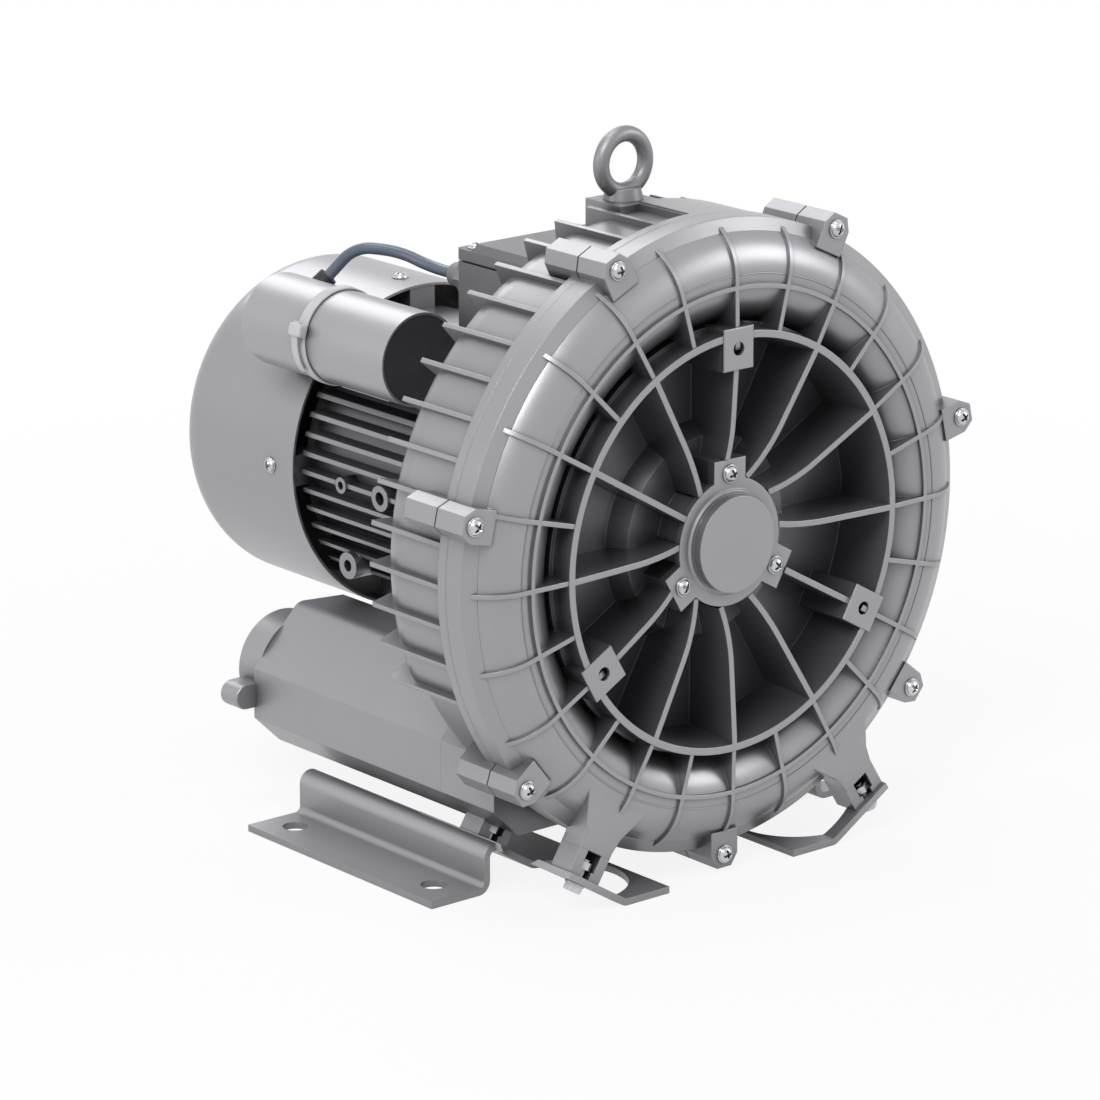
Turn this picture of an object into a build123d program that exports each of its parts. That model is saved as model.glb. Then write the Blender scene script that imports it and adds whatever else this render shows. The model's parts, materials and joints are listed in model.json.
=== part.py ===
from build123d import *
import os
from math import atan2, cos, degrees, pi, radians, sin, sqrt

os.makedirs("parts", exist_ok=True)

# Side channel blower with its motor, silencers and feet, in millimetres.
# The origin lies on the floor in the middle of the four foot holes. +X is to the right seen from
# the cover, +Y runs back along the shaft towards the fan cowl, and +Z is up.
# A depth is measured along +Y from the plane under the heads of the cover screws.
# bite is how far a feature is sunk into the body it grows from.

# Overall places
axis_height = 169.5
foot_middle_depth = 126.0
thread_gap = 0.05
seat_gap = 0.02
running_gap = 0.5
bite = 1.0

# Front cover, as radii from the shaft and depths
cover_screw_circle = 160.0
cover_screw_count = 7
flange_r = 157.5
flange_front = 8.5
flange_back = 20.0
crown_mean_r = 131.0
crown_depth = 21.0
crown_r = 26.0
crown_rib_r = 126.3
crown_rib_width = 2.2
crown_rib_height = 1.3
ring_r = 105.0
ring_wall = 3.6
ring_front = -7.1
ledge_r = 107.0
ledge_depth = 5.4
floor_depth = 25.0
floor_draft = 3.0
floor_wall = 4.0
step_r = 56.0
step_run = 6.0
annulus_depth = 15.5
hub_skirt = 2.0
bearing_stop = 3.5
rib_root_depth = 12.0
rib_start_drop = 0.4
rib_foot_sunk = 3.0
hub_r = 31.0
hub_front = 1.5
rib_count = 24
rib_thickness = 2.4
rib_proud = 1.3
spoke_count = 12
spoke_thickness = 3.0
spoke_bend_r = 62.0
spoke_lean = 6.0
spoke_lean_angle = 150.0
lug_width = 17.0
lug_tip_width = 9.0
lug_root_r = 148.0
lug_corner_r = 161.0
lug_tip_r = 167.0
lug_front = 0.0

# Accessory bosses on the ring
boss_circle = 97.0
boss_width = 19.0
boss_height = 21.0
boss_front = -6.8
boss_hole_r = 3.4
boss_hole_length = 22.0

# Side channel
channel_mean_r = 127.0
channel_r = 17.5
channel_front_depth = 18.0
channel_back_depth = 60.0
interrupter_angle = 40.0

# Housing
gasket_thickness = 0.8
gasket_width = 11.0
housing_flange_width = 5.5
body_r = 148.0
body_arc_r = 23.0
web_front = 58.9
web_wall = 6.0
fin_pitch = 7.5
fin_r = 156.0
fin_back = 80.0
fin_thickness = 2.4
fin_root_r = 126.0
fin_root_back = 85.0
fin_first_angle = -15.0
fin_last_angle = 202.5
fin_sunk = 2.0
barrel_spigot_r = 68.0
screw_hole_stop = 3.0
lug_back = 44.0
duct_back = 85.0
duct_front = 44.0

# Legs and foot bolts
leg_angle = 58.1
leg_width = 21.0
leg_depth = 14.0
leg_root_r = 146.0
leg_foot_r = 177.0
leg_sole = 4.0
leg_front = -4.0
rear_leg_front = 66.0
leg_bolt_inset = 4.5
nut_window_width = 9.4
nut_window_height = 10.0
nut_window_depth = 9.8
bolt_slot_width = 6.2
leg_root_width = 27.0
leg_flare_r = 160.0

# M5 fasteners
screw_r = 2.5
pan_head_r = 4.75
pan_head_height = 3.4
hex_flats = 8.0
nut_height = 4.0
bolt_head_height = 3.5
washer_r = 5.0
washer_thickness = 1.0
pan_head_round = 1.4
cover_screw_length = 38.0
cap_screw_length = 12.0

# Hub cap
cap_screw_circle = 34.2
cap_flange_r = 32.0
cap_flange_front = -2.0
cap_bevel_r = 25.5
cap_bevel_front = -3.0
cap_bevel_foot_r = 26.5
cap_disc_r = 24.0
cap_front = -8.0
cap_wall = 2.5
cap_lug_width = 20.0
cap_lug_root_r = 26.0
cap_lug_r = 41.3
cap_gap = 0.3
cap_spigot_length = 2.8

# Bearings, both of the 20 x 47 x 14 size, and the seal in the housing web
bearing_bore_r = 10.0
bearing_outer_r = 23.5
bearing_width = 14.0
bearing_shield_r = 14.0
bearing_lip = 5.0
front_bearing_depth = 4.5
rear_bearing_depth = 241.0
bearing_collar = 6.0
seal_outer_r = 22.0

# Shaft
shaft_front = 3.5
impeller_seat_r = 12.0
impeller_seat_front = 24.0
impeller_seat_back = 56.0
shaft_r = 15.0
fan_seat_r = 9.0
shaft_back = 300.0
key_width = 8.0
key_height = 7.0
key_length = 24.0
key_sunk = 4.0
spacer_outer_r = 13.5
end_washer_r = 13.0
end_washer_thickness = 2.5
end_screw_r = 4.0
end_screw_length = 16.0
end_screw_head_r = 6.5
end_screw_head_height = 3.0

# Impeller
impeller_r = 143.6
impeller_rim_r = 108.0
impeller_rim_wall = 3.0
impeller_web_front = 36.0
impeller_web_wall = 6.0
impeller_hub_r = 25.0
blade_count = 36
blade_thickness = 2.4
divider_thickness = 4.0
blade_hollow_r = 40.0

# Motor
barrel_front = 78.0
barrel_back = 236.0
barrel_r = 72.0
stator_r = 62.0
motor_fin_r = 80.0
motor_fin_thickness = 2.4
motor_fin_pitch = 9.7
motor_fin_front = 92.0
motor_fin_back = 234.0
motor_flange_r = 88.0
motor_flange_thickness = 7.0
motor_screw_circle = 80.0
motor_screw_count = 4
side_fin_count = 11
bottom_fin_count = 7
platform_width = 76.0
rotor_r = 34.0
rotor_front = 112.0
rotor_back = 206.0
coil_overhang = 22.0
coil_inner_r = 40.0
coil_outer_r = 59.0
coil_round = 5.0
shield_back = 262.0
shield_wall = 5.0
shield_ear_width = 16.0
shield_ear_height = 16.0
shield_spigot_r = 66.0
shield_spigot_length = 4.0

# Fan and cowl
cowl_r = 85.2
cowl_wall = 1.4
cowl_front = 235.3
cowl_back = 338.0
cowl_round = 20.0
cowl_screw_depth = 254.0
cowl_slot_count = 20
cowl_slot_width = 5.0
cowl_slot_inner_r = 20.0
cowl_slot_outer_r = 60.0
cowl_notch_gap = 0.3
cowl_screw_head_r = 4.25
cowl_screw_head_height = 2.8
cowl_screw_length = 10.0
fan_front = 268.0
fan_back = 296.0
fan_r = 76.0
fan_hub_r = 16.0
fan_disc_thickness = 3.0
fan_blade_count = 9
fan_blade_thickness = 2.4
fan_ring_width = 3.0
fan_ring_thickness = 1.5

# Capacitor
capacitor_x = -75.5
capacitor_z = 75.0
capacitor_r = 23.8
capacitor_front = 142.0
capacitor_back = 258.0
capacitor_cap_length = 9.0
capacitor_cap_lip = 1.2
capacitor_cap_sunk = 0.5
capacitor_round = 2.5
strap_depth = 207.0
strap_width = 7.0
strap_thickness = 1.2
saddle_thickness = 1.5
saddle_front = 165.0
saddle_back = 228.0
saddle_half_angle = 50.0
saddle_pad_width = 14.0
saddle_pad_inset = 14.0
strap_slot_gap = 0.5

# Terminal box
box_width = 80.0
box_front = 90.0
box_back = 158.0
box_bottom = 83.0
box_top = 117.0
box_wall = 3.0
lid_thickness = 5.5
lid_crown = 4.0
lid_taper = 30
lid_inset = 12.0
lid_gasket_thickness = 1.0
box_corner_r = 3.0
lid_screw_inset = 7.0
lid_screw_r = 2.0
lid_screw_head_r = 4.0
lid_screw_head_height = 2.6
lid_screw_length = 16.5
lid_head_pocket_r = 4.75
box_screw_depth = 12.0
gland_x = -29.0
gland_z = 106.0
gland_r = 7.0
gland_length = 14.0
gland_nut_step = 1.0
gland_neck_step = 2.0
gland_cable_depth = 10.0
cable_r = 3.0
supply_gland_x = 14.0
supply_gland_r = 11.0
supply_gland_length = 20.0
supply_bore_r = 6.5

# Terminal block and the parts that hold the lead
block_width = 46.0
block_length = 26.0
block_height = 10.0
terminal_spacing_x = 15.0
terminal_spacing_y = 14.0
terminal_r = 2.5
terminal_height = 8.0
grommet_wall = 2.0
grommet_length = 9.0
grommet_taper = -4
cable_outlet_angle = 50
cable_outlet_reach = 28.8

# Eyebolt, M8
eye_depth = 77.6
eye_pad_width = 26.0
eye_pad_length = 26.0
eye_base_z = 156.0
eye_pad_height = 30.0
eye_collar_taper = 14
eye_ring_r = 18.0
eye_hole_r = 10.0
eye_collar_r = 10.0
eye_collar_height = 6.0
eye_stem_r = 4.0
eye_stem_length = 13.0

# Silencers
silencer_side_x = 110.0
silencer_ridge_z = -99.5
silencer_low_side_z = -126.0
silencer_bottom_z = -141.0
silencer_bottom_x = 94.5
silencer_shoulder_x = 81.0
silencer_shoulder_z = -69.5
silencer_inner_x = 52.0
silencer_back = 238.0
silencer_wall = 4.0
port_x = 80.0
port_z = -105.0
port_bore_r = 20.95
port_collar_r = 27.5
port_length = 16.0
duct_bore_r = 17.0
liner_bore_r = 18.0
liner_gap = 0.3
silencer_round = 8.0
silencer_roof_drop = 2.0
corner_share = 0.42
foam_end_gap = 1.0

# Foot brackets, bent from one sheet each
sheet = 3.5
bracket_outer_x = 143.5
bracket_wall_x = 109.0
bracket_inner_x = 40.7
bracket_front = -5.8
bracket_step = 50.6
bracket_back = 199.3
bend_r = 5.0
foot_hole_r = 6.5
foot_hole_x = 126.8
foot_hole_spacing = 112.0
cutout_x = 75.0
cutout_depth = 33.0
cutout_r = 31.5
front_flange_end = 110.6
bend_overlap = 8.0

# Places worked out from the sizes above
cover_face_y = -foot_middle_depth
shaft_axis = Axis((0, 0, axis_height), (0, 1, 0))
lathe = Plane(origin=(0, cover_face_y, axis_height))
housing_front = flange_back + gasket_thickness
left_leg = 180 + leg_angle
right_leg = 360 - leg_angle
boss_angles = (90, 210, 330)
sole_r = leg_foot_r + sheet / 2
window_r = leg_foot_r - leg_sole - nut_window_height / 2


def across(depth):
    # Plane square to the shaft and facing forwards: local x is +X, local y is height over the shaft.
    return Plane(origin=(0, cover_face_y + depth, axis_height), x_dir=(1, 0, 0), z_dir=(0, -1, 0))


def radial(angle):
    # Plane through the shaft axis: local x is the radius at that angle, local y is the depth.
    outwards = (cos(radians(angle)), 0, sin(radians(angle)))
    square = (-sin(radians(angle)), 0, cos(radians(angle)))
    return Plane(origin=(0, cover_face_y, axis_height), x_dir=outwards, z_dir=square)


def around(angle, radius):
    return (radius * cos(radians(angle)), radius * sin(radians(angle)))


def foot_plane(angle, radius, depth):
    # Plane square to a leg at the given radius: local x is +Y, so a foot bolt stands along its normal.
    x, z = around(angle, radius)
    outwards = (cos(radians(angle)), 0, sin(radians(angle)))
    return Plane(origin=(x, cover_face_y + depth, axis_height + z), x_dir=(0, 1, 0), z_dir=outwards)


def leg_outline(angle):
    # Outline of one leg seen from the front: it narrows from its root and then runs straight to its sole.
    outwards = Vector(*around(angle, 1))
    aside = Vector(-outwards.Y, outwards.X)
    points = [
        outwards * leg_root_r + aside * (leg_root_width / 2),
        outwards * leg_flare_r + aside * (leg_width / 2),
        outwards * leg_foot_r + aside * (leg_width / 2),
        outwards * leg_foot_r - aside * (leg_width / 2),
        outwards * leg_flare_r - aside * (leg_width / 2),
        outwards * leg_root_r - aside * (leg_root_width / 2),
    ]
    return [(point.X, point.Y) for point in points]


def lug_outline(angle):
    # Five-sided end of a cover screw lug.
    outwards = Vector(*around(angle, 1))
    aside = Vector(-outwards.Y, outwards.X)
    wide = aside * (lug_width / 2)
    narrow = aside * (lug_tip_width / 2)
    points = [
        outwards * lug_root_r + wide,
        outwards * lug_corner_r + wide,
        outwards * lug_tip_r + narrow,
        outwards * lug_tip_r - narrow,
        outwards * lug_corner_r - wide,
        outwards * lug_root_r - wide,
    ]
    return [(point.X, point.Y) for point in points]


cover_screw_angles = [270 + i * 360 / cover_screw_count for i in range(cover_screw_count)]
leg_fronts = (leg_front, rear_leg_front)

# Front cover: a dished casting with the front half of the side channel in its crown
ring_inner_r = ring_r - ring_wall
floor_r = ring_inner_r - floor_draft
floor_back = floor_depth + floor_wall
annulus_back = annulus_depth + floor_wall
step_inner_r = step_r - step_run
bearing_seat_back = front_bearing_depth + bearing_width
hub_back = bearing_seat_back + bearing_stop
valley_depth = crown_depth - sqrt(crown_r**2 - (crown_mean_r - ledge_r) ** 2)
shoulder_r = crown_mean_r + sqrt(crown_r**2 - (crown_depth - flange_front) ** 2)
rib_r = crown_r + rib_proud
rib_foot_r = crown_mean_r + sqrt(rib_r**2 - (crown_depth - flange_front) ** 2)
rib_arc_middle = radians(60)

with BuildPart() as front_cover:
    with BuildSketch(lathe):
        with BuildLine():
            ThreePointArc(
                (ledge_r, valley_depth),
                (crown_mean_r, crown_depth - crown_r),
                (shoulder_r, flange_front),
            )
            Polyline(
                (shoulder_r, flange_front),
                (flange_r, flange_front),
                (flange_r, flange_back),
                (floor_r + floor_wall, flange_back),
                (floor_r + floor_wall, floor_back),
                (step_r - hub_skirt, floor_back),
                (step_inner_r - hub_skirt, annulus_back),
                (hub_r + hub_skirt, annulus_back),
                (hub_r + hub_skirt, hub_back),
                (bearing_outer_r - bearing_lip, hub_back),
                (bearing_outer_r - bearing_lip, bearing_seat_back),
                (bearing_outer_r + seat_gap, bearing_seat_back),
                (bearing_outer_r + seat_gap, hub_front),
                (hub_r, hub_front),
                (hub_r, annulus_depth),
                (step_inner_r, annulus_depth),
                (step_r, floor_depth),
                (floor_r, floor_depth),
                (ring_inner_r, ring_front),
                (ring_r, ring_front),
                (ring_r, ledge_depth),
                (ledge_r, ledge_depth),
                (ledge_r, valley_depth),
            )
        make_face()
    revolve(axis=shaft_axis)
    # Spokes from the ring to the hub, each leaning towards one side near the hub
    with BuildSketch(across(floor_depth + bite)):
        for i in range(spoke_count):
            angle = i * 360 / spoke_count
            lean = spoke_lean * sin(radians(spoke_lean_angle - angle))
            bend = around(angle, spoke_bend_r)
            knee = around(angle, (spoke_bend_r + hub_r) / 2)
            end = Vector(*around(angle, hub_r + bite)) + Vector(*around(angle + 90, lean))
            with BuildLine():
                Line(around(angle, ring_inner_r + bite), bend)
                Bezier(bend, knee, (end.X, end.Y))
            trace(line_width=spoke_thickness)
    extrude(amount=floor_depth + bite - ring_front)
    with BuildSketch(lathe):
        with BuildLine():
            Polyline(
                (0, ring_front - bite),
                (ring_inner_r - bite, ring_front - bite),
                (ring_inner_r - bite, ring_front),
                (hub_r, cap_flange_front),
                (hub_r, hub_front),
                (0, hub_front),
                (0, ring_front - bite),
            )
        make_face()
    revolve(axis=shaft_axis, mode=Mode.SUBTRACT)
    # Seat of the hub cap, kept clear of the spokes
    with BuildSketch(across(hub_front)):
        Circle(cap_flange_r + cap_gap)
        for angle in boss_angles:
            with Locations(Location((*around(angle, (hub_r + cap_lug_r) / 2), 0), (0, 0, angle - 90))):
                Rectangle(cap_lug_width + 2 * cap_gap, cap_lug_r - hub_r + 2 * cap_gap)
    extrude(amount=hub_front - ring_front, mode=Mode.SUBTRACT)
    # Ribs over the crown, one of them on each spoke and one between
    for i in range(rib_count):
        with BuildSketch(radial(i * 360 / rib_count)):
            with BuildLine():
                Polyline(
                    (ring_r - bite, rib_root_depth),
                    (ring_r - bite, ring_front + rib_start_drop),
                    (crown_rib_r, crown_depth - rib_r),
                    (crown_mean_r, crown_depth - rib_r),
                )
                ThreePointArc(
                    (crown_mean_r, crown_depth - rib_r),
                    (
                        crown_mean_r + rib_r * cos(rib_arc_middle),
                        crown_depth - rib_r * sin(rib_arc_middle),
                    ),
                    (rib_foot_r, flange_front),
                )
                Polyline(
                    (rib_foot_r, flange_front),
                    (rib_foot_r, flange_front + rib_foot_sunk),
                    (ring_r - bite, rib_root_depth),
                )
            make_face()
    extrude(amount=rib_thickness / 2, both=True)
    with BuildSketch(lathe):
        with Locations((crown_rib_r, crown_depth - crown_r + bite)):
            Rectangle(crown_rib_width, 2 * (bite + crown_rib_height))
    revolve(axis=shaft_axis)
    # Bosses for accessories, hub cap screws and cover screws, and the two front legs
    with BuildSketch(across(floor_depth + bite)):
        for angle in boss_angles:
            with Locations(Location((*around(angle, boss_circle), 0), (0, 0, angle - 90))):
                Rectangle(boss_width, boss_height)
    extrude(amount=floor_depth + bite - boss_front)
    with BuildSketch(across(annulus_depth + bite)):
        for angle in boss_angles:
            with Locations(Location((*around(angle, (hub_r + cap_lug_r) / 2 - bite), 0), (0, 0, angle - 90))):
                Rectangle(cap_lug_width, cap_lug_r - hub_r + 2 * bite)
    extrude(amount=annulus_depth + bite - hub_front)
    with BuildSketch(across(flange_back)):
        for angle in cover_screw_angles:
            with BuildLine():
                Polyline(*lug_outline(angle), close=True)
            make_face()
    extrude(amount=flange_back - lug_front)
    with BuildSketch(across(leg_front + leg_depth)):
        for angle in (left_leg, right_leg):
            with BuildLine():
                Polyline(*leg_outline(angle), close=True)
            make_face()
    extrude(amount=leg_depth)
    # Holes
    for angle in (left_leg, right_leg):
        with BuildSketch(across(leg_front)):
            with Locations(Location((*around(angle, window_r), 0), (0, 0, angle - 90))):
                Rectangle(nut_window_width, nut_window_height)
        extrude(amount=-nut_window_depth, mode=Mode.SUBTRACT)
        with BuildSketch(across(leg_front)):
            with Locations(Location((*around(angle, leg_foot_r - leg_sole / 2), 0), (0, 0, angle - 90))):
                Rectangle(bolt_slot_width, leg_sole + bite)
        extrude(amount=-(leg_bolt_inset + bolt_slot_width / 2), mode=Mode.SUBTRACT)
    with BuildSketch(across(boss_front)):
        with PolarLocations(boss_circle, len(boss_angles), start_angle=boss_angles[0]):
            Circle(boss_hole_r)
    extrude(amount=-boss_hole_length, mode=Mode.SUBTRACT)
    with BuildSketch(across(hub_front)):
        with PolarLocations(cap_screw_circle, len(boss_angles), start_angle=boss_angles[0]):
            Circle(screw_r + thread_gap)
    extrude(amount=-(annulus_depth - hub_front), mode=Mode.SUBTRACT)
    with BuildSketch(across(0)):
        with PolarLocations(cover_screw_circle, cover_screw_count, start_angle=270):
            Circle(screw_r + thread_gap)
    extrude(amount=-flange_back, mode=Mode.SUBTRACT)
    # The channel stops at the interrupter, at the bottom between the ports
    with BuildSketch(radial(270 - interrupter_angle / 2)):
        with BuildLine():
            ThreePointArc(
                (channel_mean_r - channel_r, channel_front_depth),
                (channel_mean_r, channel_front_depth - channel_r),
                (channel_mean_r + channel_r, channel_front_depth),
            )
            Polyline(
                (channel_mean_r + channel_r, channel_front_depth),
                (channel_mean_r + channel_r, flange_back),
                (channel_mean_r - channel_r, flange_back),
                (channel_mean_r - channel_r, channel_front_depth),
            )
        make_face()
    revolve(axis=shaft_axis, revolution_arc=360 - interrupter_angle, mode=Mode.SUBTRACT)
front_cover.part.label = "front_cover"
export_step(front_cover.part, "parts/front_cover.step")

# Gasket between the cover and the housing
with BuildPart() as cover_gasket:
    with BuildSketch(across(housing_front)):
        Circle(flange_r)
        Circle(flange_r - gasket_width, mode=Mode.SUBTRACT)
    extrude(amount=gasket_thickness)
cover_gasket.part.label = "cover_gasket"
export_step(cover_gasket.part, "parts/cover_gasket.step")

# Cover screws
with BuildPart() as cover_screws:
    with BuildSketch(across(0)):
        with PolarLocations(cover_screw_circle, cover_screw_count, start_angle=270):
            Circle(pan_head_r)
    extrude(amount=pan_head_height)
    fillet(cover_screws.faces().group_by(Axis.Y)[0].edges(), radius=pan_head_round)
    with BuildSketch(across(0)):
        with PolarLocations(cover_screw_circle, cover_screw_count, start_angle=270):
            Circle(screw_r)
    extrude(amount=-cover_screw_length)
cover_screws.part.label = "cover_screws"
export_step(cover_screws.part, "parts/cover_screws.step")

# Hub cap over the front bearing
with BuildPart() as hub_cap:
    with BuildSketch(lathe):
        with BuildLine():
            Polyline(
                (0, cap_front),
                (cap_disc_r, cap_front),
                (cap_disc_r, cap_bevel_front),
                (cap_bevel_r, cap_bevel_front),
                (cap_bevel_foot_r, cap_flange_front),
                (cap_flange_r, cap_flange_front),
                (cap_flange_r, hub_front),
                (bearing_outer_r, hub_front),
                (bearing_outer_r, hub_front + cap_spigot_length),
                (bearing_outer_r - cap_wall, hub_front + cap_spigot_length),
                (bearing_outer_r - cap_wall, cap_front + cap_wall),
                (0, cap_front + cap_wall),
                (0, cap_front),
            )
        make_face()
    revolve(axis=shaft_axis)
    with BuildSketch(across(hub_front)):
        for angle in boss_angles:
            with Locations(Location((*around(angle, (cap_lug_root_r + cap_lug_r) / 2), 0), (0, 0, angle - 90))):
                Rectangle(cap_lug_width, cap_lug_r - cap_lug_root_r)
        Circle(bearing_outer_r, mode=Mode.SUBTRACT)
    extrude(amount=hub_front - cap_flange_front)
    with BuildSketch(across(cap_flange_front)):
        with PolarLocations(cap_screw_circle, len(boss_angles), start_angle=boss_angles[0]):
            Circle(screw_r + thread_gap)
    extrude(amount=-(hub_front - cap_flange_front), mode=Mode.SUBTRACT)
hub_cap.part.label = "hub_cap"
export_step(hub_cap.part, "parts/hub_cap.step")

with BuildPart() as hub_cap_screws:
    with BuildSketch(across(cap_flange_front)):
        with PolarLocations(cap_screw_circle, len(boss_angles), start_angle=boss_angles[0]):
            Circle(pan_head_r)
    extrude(amount=pan_head_height)
    fillet(hub_cap_screws.faces().group_by(Axis.Y)[0].edges(), radius=pan_head_round)
    with BuildSketch(across(cap_flange_front)):
        with PolarLocations(cap_screw_circle, len(boss_angles), start_angle=boss_angles[0]):
            Circle(screw_r)
    extrude(amount=-cap_screw_length)
hub_cap_screws.part.label = "hub_cap_screws"
export_step(hub_cap_screws.part, "parts/hub_cap_screws.step")


def silencer_outline(side, inset):
    # Six-sided section of a silencer and its duct, with the given wall taken off; side is -1 or 1.
    slope = (silencer_shoulder_z - silencer_ridge_z) / (silencer_side_x - silencer_shoulder_x)
    lean = inset * corner_share
    points = [
        (silencer_side_x - inset, silencer_ridge_z - lean),
        (silencer_shoulder_x - lean * slope, silencer_shoulder_z - inset),
        (silencer_inner_x + inset, silencer_shoulder_z - inset - silencer_roof_drop),
        (silencer_inner_x + inset, silencer_bottom_z + inset),
        (silencer_bottom_x - lean, silencer_bottom_z + inset),
        (silencer_side_x - inset, silencer_low_side_z + lean),
    ]
    return [(side * x, z) for x, z in points]


# Blower housing: rear half of the side channel, cooling fins, ducts to the silencers, motor seat
web_back = web_front + web_wall
fin_angles = []
fin_angle = fin_first_angle
while fin_angle <= fin_last_angle:
    fin_angles.append(fin_angle)
    fin_angle += fin_pitch

with BuildPart() as blower_housing:
    with BuildSketch(lathe):
        with BuildLine():
            Polyline(
                (seal_outer_r, web_front),
                (channel_mean_r + channel_r, web_front),
                (channel_mean_r + channel_r, housing_front),
                (flange_r, housing_front),
                (flange_r, housing_front + housing_flange_width),
                (body_r, housing_front + housing_flange_width),
                (body_r, channel_back_depth),
            )
            ThreePointArc(
                (body_r, channel_back_depth),
                (body_r - body_arc_r, channel_back_depth + body_arc_r),
                (body_r - 2 * body_arc_r, channel_back_depth),
            )
            Polyline(
                (body_r - 2 * body_arc_r, channel_back_depth),
                (body_r - 2 * body_arc_r, web_back),
                (motor_flange_r, web_back),
                (motor_flange_r, barrel_front),
                (barrel_spigot_r, barrel_front),
                (barrel_spigot_r, web_back),
                (seal_outer_r, web_back),
                (seal_outer_r, web_front),
            )
        make_face()
    revolve(axis=shaft_axis)
    # Fins over the upper part of the body
    for angle in fin_angles:
        with BuildSketch(radial(angle)):
            with BuildLine():
                Polyline(
                    (body_r - fin_sunk, housing_front + fin_sunk),
                    (fin_r, housing_front + fin_sunk),
                    (fin_r, fin_back),
                    (fin_root_r, fin_root_back),
                    (fin_root_r, channel_back_depth + channel_r + fin_sunk),
                    (body_r - fin_sunk, web_front),
                    close=True,
                )
            make_face()
    extrude(amount=fin_thickness / 2, both=True)
    # Eyebolt pad on top
    with BuildSketch(Plane.XY.offset(axis_height + eye_base_z)):
        with Locations((0, cover_face_y + eye_depth)):
            Rectangle(eye_pad_width, eye_pad_length)
    extrude(amount=-eye_pad_height)
    # Lugs for the cover screws
    with BuildSketch(across(lug_back)):
        for angle in cover_screw_angles:
            with BuildLine():
                Polyline(*lug_outline(angle), close=True)
            make_face()
    extrude(amount=lug_back - housing_front)
    # Ducts that lead back to the silencers, and the two rear legs
    with BuildSketch(across(duct_back)):
        for side in (-1, 1):
            with BuildLine():
                Polyline(*silencer_outline(side, 0), close=True)
            make_face()
    extrude(amount=duct_back - duct_front)
    with BuildSketch(across(rear_leg_front + leg_depth)):
        for angle in (left_leg, right_leg):
            with BuildLine():
                Polyline(*leg_outline(angle), close=True)
            make_face()
    extrude(amount=leg_depth)
    # Clear the space of the impeller, then the channel up to the interrupter
    with BuildSketch(lathe):
        with Locations(((channel_mean_r + channel_r) / 2, (housing_front + web_front) / 2)):
            Rectangle(channel_mean_r + channel_r, web_front - housing_front)
    revolve(axis=shaft_axis, mode=Mode.SUBTRACT)
    with BuildSketch(radial(270 - interrupter_angle / 2)):
        with BuildLine():
            ThreePointArc(
                (channel_mean_r - channel_r, channel_back_depth),
                (channel_mean_r, channel_back_depth + channel_r),
                (channel_mean_r + channel_r, channel_back_depth),
            )
            Polyline(
                (channel_mean_r + channel_r, channel_back_depth),
                (channel_mean_r + channel_r, web_front),
                (channel_mean_r - channel_r, web_front),
                (channel_mean_r - channel_r, channel_back_depth),
            )
        make_face()
    revolve(axis=shaft_axis, revolution_arc=360 - interrupter_angle, mode=Mode.SUBTRACT)
    with BuildSketch(across(duct_back)):
        with Locations((-port_x, port_z), (port_x, port_z)):
            Circle(duct_bore_r)
    extrude(amount=duct_back - channel_back_depth, mode=Mode.SUBTRACT)
    # Holes for screws and bolts
    for angle in (left_leg, right_leg):
        with BuildSketch(across(rear_leg_front)):
            with Locations(Location((*around(angle, window_r), 0), (0, 0, angle - 90))):
                Rectangle(nut_window_width, nut_window_height)
        extrude(amount=-nut_window_depth, mode=Mode.SUBTRACT)
        with BuildSketch(across(rear_leg_front)):
            with Locations(Location((*around(angle, leg_foot_r - leg_sole / 2), 0), (0, 0, angle - 90))):
                Rectangle(bolt_slot_width, leg_sole + bite)
        extrude(amount=-(leg_bolt_inset + bolt_slot_width / 2), mode=Mode.SUBTRACT)
    with BuildSketch(across(housing_front)):
        with PolarLocations(cover_screw_circle, cover_screw_count, start_angle=270):
            Circle(screw_r + thread_gap)
    extrude(amount=-(lug_back - housing_front - screw_hole_stop), mode=Mode.SUBTRACT)
    with BuildSketch(Plane.XY.offset(axis_height + eye_base_z)):
        with Locations((0, cover_face_y + eye_depth)):
            Circle(eye_stem_r + thread_gap)
    extrude(amount=-(eye_stem_length + bite), mode=Mode.SUBTRACT)
    with BuildSketch(across(barrel_front)):
        with PolarLocations(motor_screw_circle, motor_screw_count, start_angle=45):
            Circle(screw_r + thread_gap)
    extrude(amount=barrel_front - web_back, mode=Mode.SUBTRACT)
blower_housing.part.label = "blower_housing"
export_step(blower_housing.part, "parts/blower_housing.step")

# Shaft seal in the housing web
with BuildPart() as shaft_seal:
    with BuildSketch(across(web_back)):
        Circle(seal_outer_r - seat_gap)
        Circle(shaft_r + thread_gap, mode=Mode.SUBTRACT)
    extrude(amount=web_wall)
shaft_seal.part.label = "shaft_seal"
export_step(shaft_seal.part, "parts/shaft_seal.step")

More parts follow.
